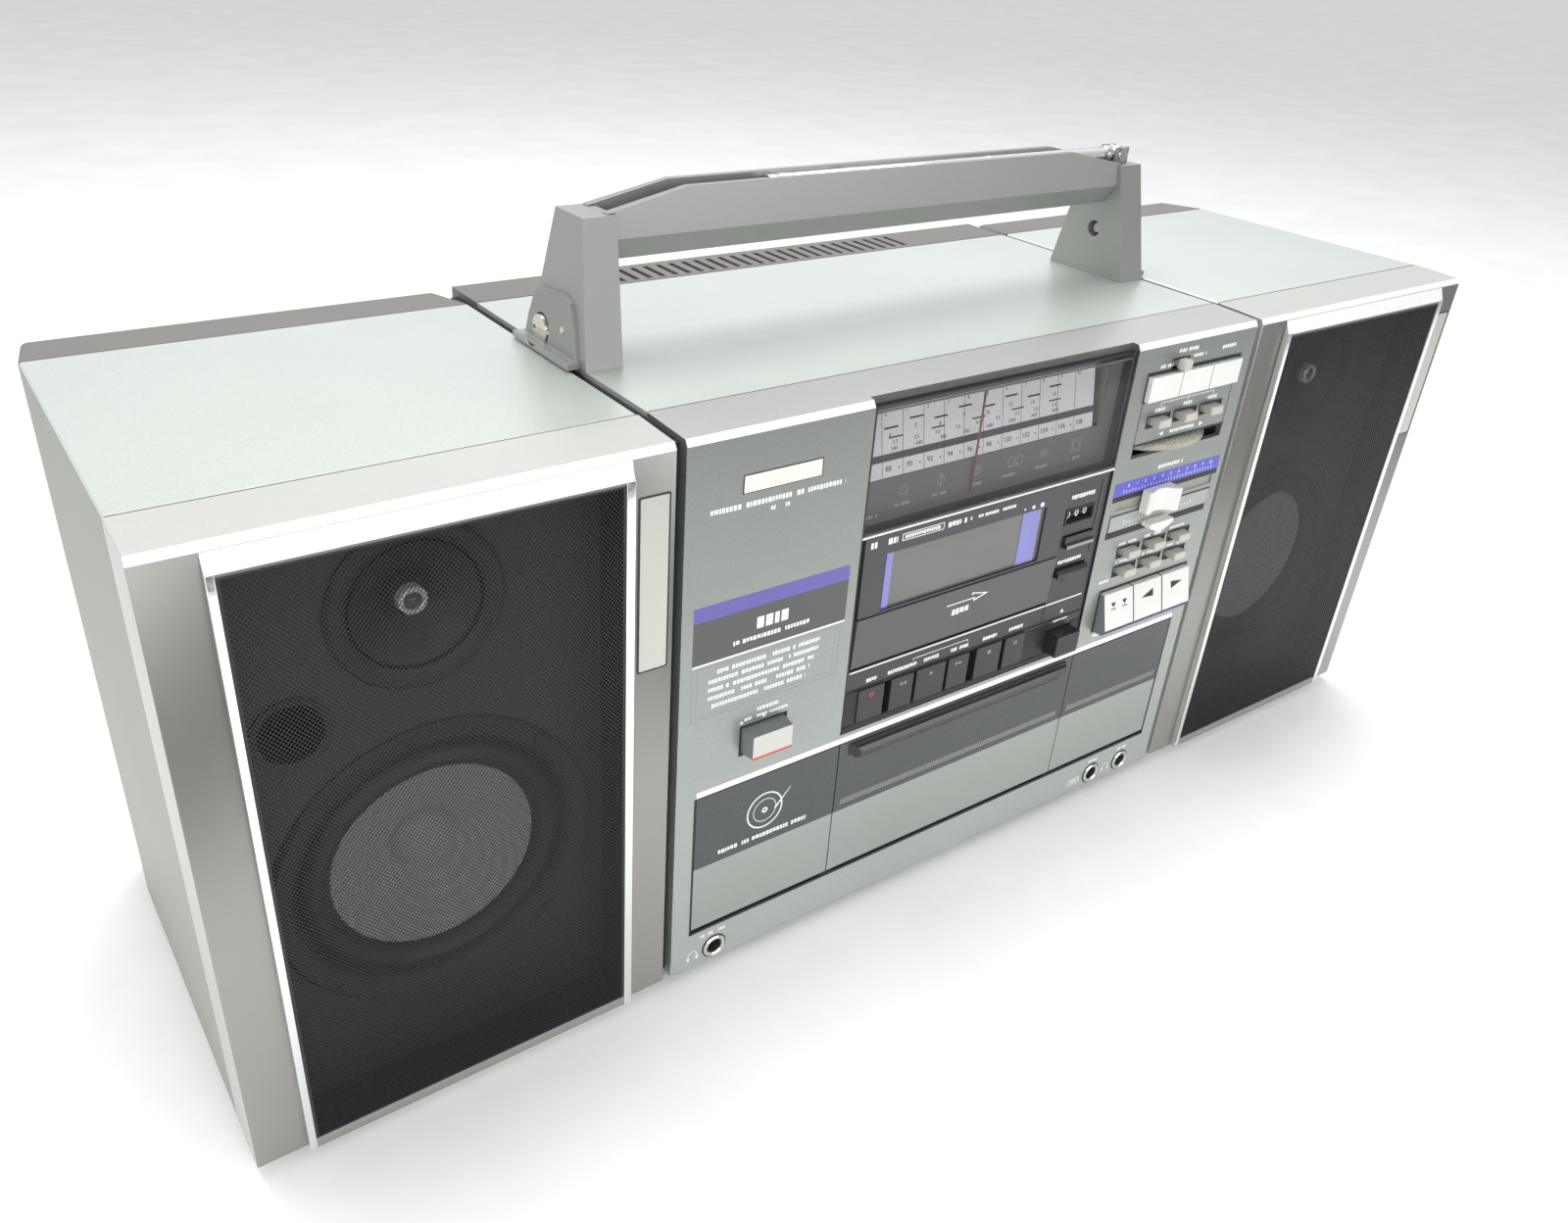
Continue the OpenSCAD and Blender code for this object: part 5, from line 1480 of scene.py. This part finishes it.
def make_turntable_buttons():
    """Wedges with dark flanks and a symbol on each sloping face."""
    face_lean = 5 / 18.5
    symbols = {
        1: [[(-6, 3), (-2.4, 3), (-4.2, 0.6)], [(2.4, 3), (6, 3), (4.2, 0.6)],
            corners(-6, -2.4, -0.5, 0), corners(2.2, 6.2, -0.5, 0)],
        2: [[(4, 3.4), (4, -0.6), (-5, 0.2)]],
        3: [[(-4, 3.4), (5, 2.2), (-4, -0.4)]],
    }
    for i in (1, 2, 3):
        x = PANEL_X + (i - 2) * BUTTON_PITCH
        cap = Shape().prism(
            [(-2.5, 130), (-7.5, 111.5), (-5.5, 108), (12, 108), (12, 130)], "x",
            x - BUTTON_HALF, x + BUTTON_HALF,
        )
        cap.rod(x, 0, 119, 5, 12, 16)
        cap.piece(
            f"turntable_cap_{i}", [WHITE_PLASTIC, BUTTON_GREY, PRINT_INDIGO], f"turntable_button_{i}",
            "button_white", bevel=0.4, segments=3, replaces=[f"turntable_button_{i}"],
            pick=lambda normal, centre: 2 if centre.y < -5.6 and centre.z < 111
            else 1 if abs(normal.x) > 0.7 else 0,
        )
        mark = Shape()
        for outline in symbols[i]:
            mark.prism([(x + a, 122 + b) for a, b in outline], "y", -4.75, -4.60)
        lean(mark, 122, face_lean).piece(
            f"turntable_mark_{i}", PRINT_BLACK, f"turntable_button_{i}", "key_black"
        )
    slot_rim("turntable_rim", PANEL_X - ROW_HALF, PANEL_X + ROW_HALF, 107.6, 130.4, 0.8, 1.3, 0.3)


# ---- Record drawer ----

PLATTER_Y = 156.0


def make_drawer():
    """Three-part drawer front with its pull lip, the lines round it, the tray and the arm."""
    body = "turntable_drawer"
    x0, x1, *_, z0, z1 = local_box("drawer_front")
    z0 += 1.2
    seams = (-76.0, 76.0)
    edges = [x0, seams[0] - 0.25, seams[0] + 0.25, seams[1] - 0.25, seams[1] + 0.25, x1]
    lower, upper = Shape(), Shape()
    for low, high in zip(edges[0::2], edges[1::2]):
        lower.box(low, high, 0, 3.6, z0, 58)
        upper.box(low, high, -0.15, 3.6, 58.1, z1)
    lower.piece("drawer_lower_panels", GREY_SILVER, body, "front_silver", bevel=0.25,
                replaces=["drawer_front"])
    upper.piece("drawer_upper_panels", DARK_PANEL, body, "deck_plastic", bevel=0.25)
    Shape().box(x0 + 1, x1 - 1, 0.8, 4, z0 + 0.6, z1 - 0.6).piece(
        "drawer_backing", BLACK, body, "deck_plastic"
    )
    hatch = Shape()
    for low, high in ((-72.5, 73), (79, 149.5)):
        for i in range(int((high - low) / 1.6)):
            x = low + i * 1.6
            hatch.prism([(x, 61.6), (x + 0.8, 61.6), (x + 1.7, 64.8), (x + 0.9, 64.8)], "y", -0.24, -0.1)
    hatch.piece("drawer_hatch", SIDE_SILVER, body, "silver_paint")
    lip = Shape()
    for profile, reach in (
        ([(-0.1, 95.6), (-3.4, 94.8), (-5, 92.6), (-4.4, 90.8), (-1.6, 89.9), (-0.1, 89.8)], 71),
        ([(-0.1, 89.0), (-1.7, 88.2), (-2.1, 87.4), (-0.1, 86.8)], 67),
    ):
        ends = []
        for side in (-1, 1):
            ends.append([lip.bm.verts.new((side * (reach + y * 0.9), y, z)) for y, z in profile])
        lip.bm.faces.new(ends[0])
        lip.bm.faces.new(ends[1][::-1])
        lip.bridge(*ends)
    lip.piece("drawer_pull", BLACK_GLOSS, body, "deck_plastic", bevel=0.25)
    emblem = Shape()
    for outer, inner, steps in ((9.6, 8.9, 48), (6.2, 5.9, 40), (1.5, 0.7, 24)):
        hoop(emblem, -116, 77, outer, inner, -0.24, -0.1, steps)
    emblem.prism([(-103, 84.5), (-102.2, 85), (-110, 75.6), (-110.8, 76.2)], "y", -0.26, -0.1)
    bar_marks(emblem, -140, -92, 63.2, 2.2, 130, -0.24, -0.1)
    emblem.piece("drawer_emblem", PRINT_WHITE, body, "button_white")
    # The trim strip over the drawer is near-white: a painted highlight.
    strip = Shape().prism(
        [(-0.55, 98.2), (-0.7, 99.1), (-0.55, 100.1), (0.1, 100.7), (0.1, 97.6)], "x", -152.5, 152
    )
    strip.piece("bright_strip", EDGE_HIGHLIGHT, slot="arm_metal")
    shade_line = Shape().box(-152.6, 152.4, 0.2, 0.9, 96.9, 97.7)
    shade_line.box(-153.4, 153.4, -0.06, 0.9, 20.0, 21.4)
    shade_line.box(-153.4, -152.5, -0.06, 0.9, 20.0, 97.4)
    shade_line.box(152.4, 153.4, -0.06, 0.9, 20.0, 97.4)
    shade_line.piece("drawer_shadow_line", BLACK, slot="deck_plastic")
    tabs = Shape()
    for x in seams:
        tabs.box(x - 3, x + 3, 0.6, 2.4, 20.9, 21.9)
    tabs.piece("drawer_tabs", DARK_PANEL, slot="deck_plastic", bevel=0.2)

    paint_node("turntable_drawer", TRAY_GREY, 0.8)
    paint_node("tonearm_carriage", SATIN_METAL, 0.6)


def make_platter():
    """Ribbed platter mat, its spindle and the ring let into the tray."""
    centre = (0, PLATTER_Y, 57)
    platter = [(0, 12), (8, 12), (8.6, 11.4)]
    for i in range(9):
        r = 10 + i * 3.0
        platter += [(r, 11.4), (r + 0.4, 12), (r + 2.0, 12), (r + 2.4, 11.4)]
    platter += [(37.4, 11.4), (38, 10.6), (38, 1.4), (37, 0.6), (3, 0.6), (3, -13.4), (0, -13.4)]
    Shape().turned(platter, centre, "z", 96).piece(
        "platter_mat", RUBBER, "platter", "platter_rubber", replaces=["platter"]
    )
    Shape().turned([(0, 21), (1.6, 21), (3, 19.6), (3.6, 17.4), (3.6, 12), (0, 12)], centre, "z").piece(
        "spindle", NICKEL, "platter", "arm_metal"
    )
    plinth = Shape().plate(ring(0, 0, 42, 72), [ring(0, 0, 39, 72)], 0, 0.8)
    for vertex in plinth.bm.verts:
        x, y, z = vertex.co
        vertex.co = (x, PLATTER_Y + z, 60.0 + y)
    plinth.piece("platter_ring", SATIN_METAL, "turntable_drawer", "arm_metal")


# ---- Handle and aerial ----

GRIP_Y, AERIAL_Z = 95.5, 321.0
POST_LEAN = -5.2 / 56


def make_handle():
    """Grip and posts, with a bracket plate, lip, small screw and inner bolt at each post."""
    paint_node("handle_grip", HANDLE_GREY, 0.9, 3)
    # The posts' front faces are darker: painted shade.
    paint_node("handle_posts", HANDLE_POST, 0.9, 3)
    paint_node("handle_screws", NICKEL, 0.5, 3)
    for name, side in SIDES.items():
        def stand(shape):
            for vertex in shape.bm.verts:
                x, _, z = vertex.co
                vertex.co.x = side * (163.0 + POST_LEAN * (z - 261) + x)
            return shape

        plate = Shape().prism(
            [(79, 262.4), (123, 262.4), (120.6, 272), (116.6, 281.4), (111.5, 285), (92, 287),
             (86.2, 284.6), (82.4, 277)], "x", -0.6, 1.7,
        )
        plate.cut(Shape().prism(ring(109, 268.5, 6.7, 40), "x", -2, 4))
        stand(plate).piece(f"bracket_plate_{name}", HANDLE_GREY, slot="handle_plastic", bevel=0.7,
                           segments=3)
        rim = Shape().prism([(0, 264.6), (1.2, 264.4), (3.2, 263.7), (5.9, 264.4), (5.9, 263), (0, 262)],
                            "y", 78.5, 123.5)
        for vertex in rim.bm.verts:
            vertex.co.x = side * (162.6 + vertex.co.x)
        rim.piece(f"bracket_lip_{name}", HANDLE_GREY, slot="handle_plastic", bevel=0.4, segments=3)
        small = Shape().rod(0, 91, 273, 1.4, 1.4, 2.2, "x", 20, 0.25)
        small.cut(Shape().box(2.0, 3, 89.9, 92.1, 272.8, 273.2))
        stand(small).piece(f"bracket_screw_{name}", NICKEL, slot="screw_metal")
    # A black disc round each inner bolt stands for the post's recess: painted shade.
    dark, hexagon = Shape(), Shape()
    for side in (-1, 1):
        low, high = sorted((side * 149.2, side * 149.9))
        dark.rod(0, GRIP_Y, 284, 3.9, low, high, "x", 28, 0.1)
        low, high = sorted((side * 147.5, side * 149.3))
        hexagon.turned([(0, low), (2.6, low), (2.6, high), (0, high)], (0, GRIP_Y, 284), "x", 6)
    dark.piece("post_recess", BLACK, slot="handle_plastic")
    hexagon.piece("post_bolt", MECH_METAL, slot="screw_metal")


def make_aerial():
    """Aerial tubes with their end rings, the knuckle's screw and the clip on the grip."""
    paint_node("antenna_outer", CHROME, 0.2)
    paint_node("antenna_inner", CHROME, 0.3)
    rings = Shape()
    for x, r in ((-57.6, 3.75), (-20, 3.62), (62, 3.62), (143.5, 3.7)):
        rings.turned([(3.3, -1.6), (r, -1.2), (r, 1.2), (3.3, 1.6)], (x, GRIP_Y, AERIAL_Z), "x", 28)
    rings.piece("aerial_rings", SATIN_METAL, "antenna_outer", "aerial_chrome")
    cap = Shape().rod(150, GRIP_Y, AERIAL_Z, 3.4, -6.2, -5.4, "y", 24)
    cap.cut(Shape().box(147, 153, 89, 89.7, 320.6, 321.4))
    cap.piece("knuckle_screw", NICKEL, slot="screw_metal")
    clip = Shape()
    for side in (-1, 1):
        y = GRIP_Y + side * 4.9
        clip.box(-62.6, -55.4, y - 0.5, y + 0.5, 314.2, 323.4)
    clip.piece("aerial_clip", WHITE_PLASTIC, slot="handle_plastic", bevel=0.3)


make_camera()
make_stage()
make_speakers()
make_case()
make_front_print()
make_sockets()
make_terminals()
make_rear()
make_dial()
make_door()
make_deck()
make_power_button()
make_tuner_controls()
make_sliders()
make_turntable_buttons()
make_drawer()
make_platter()
make_handle()
make_aerial()
paint_node("main_board", BOARD_GREEN)
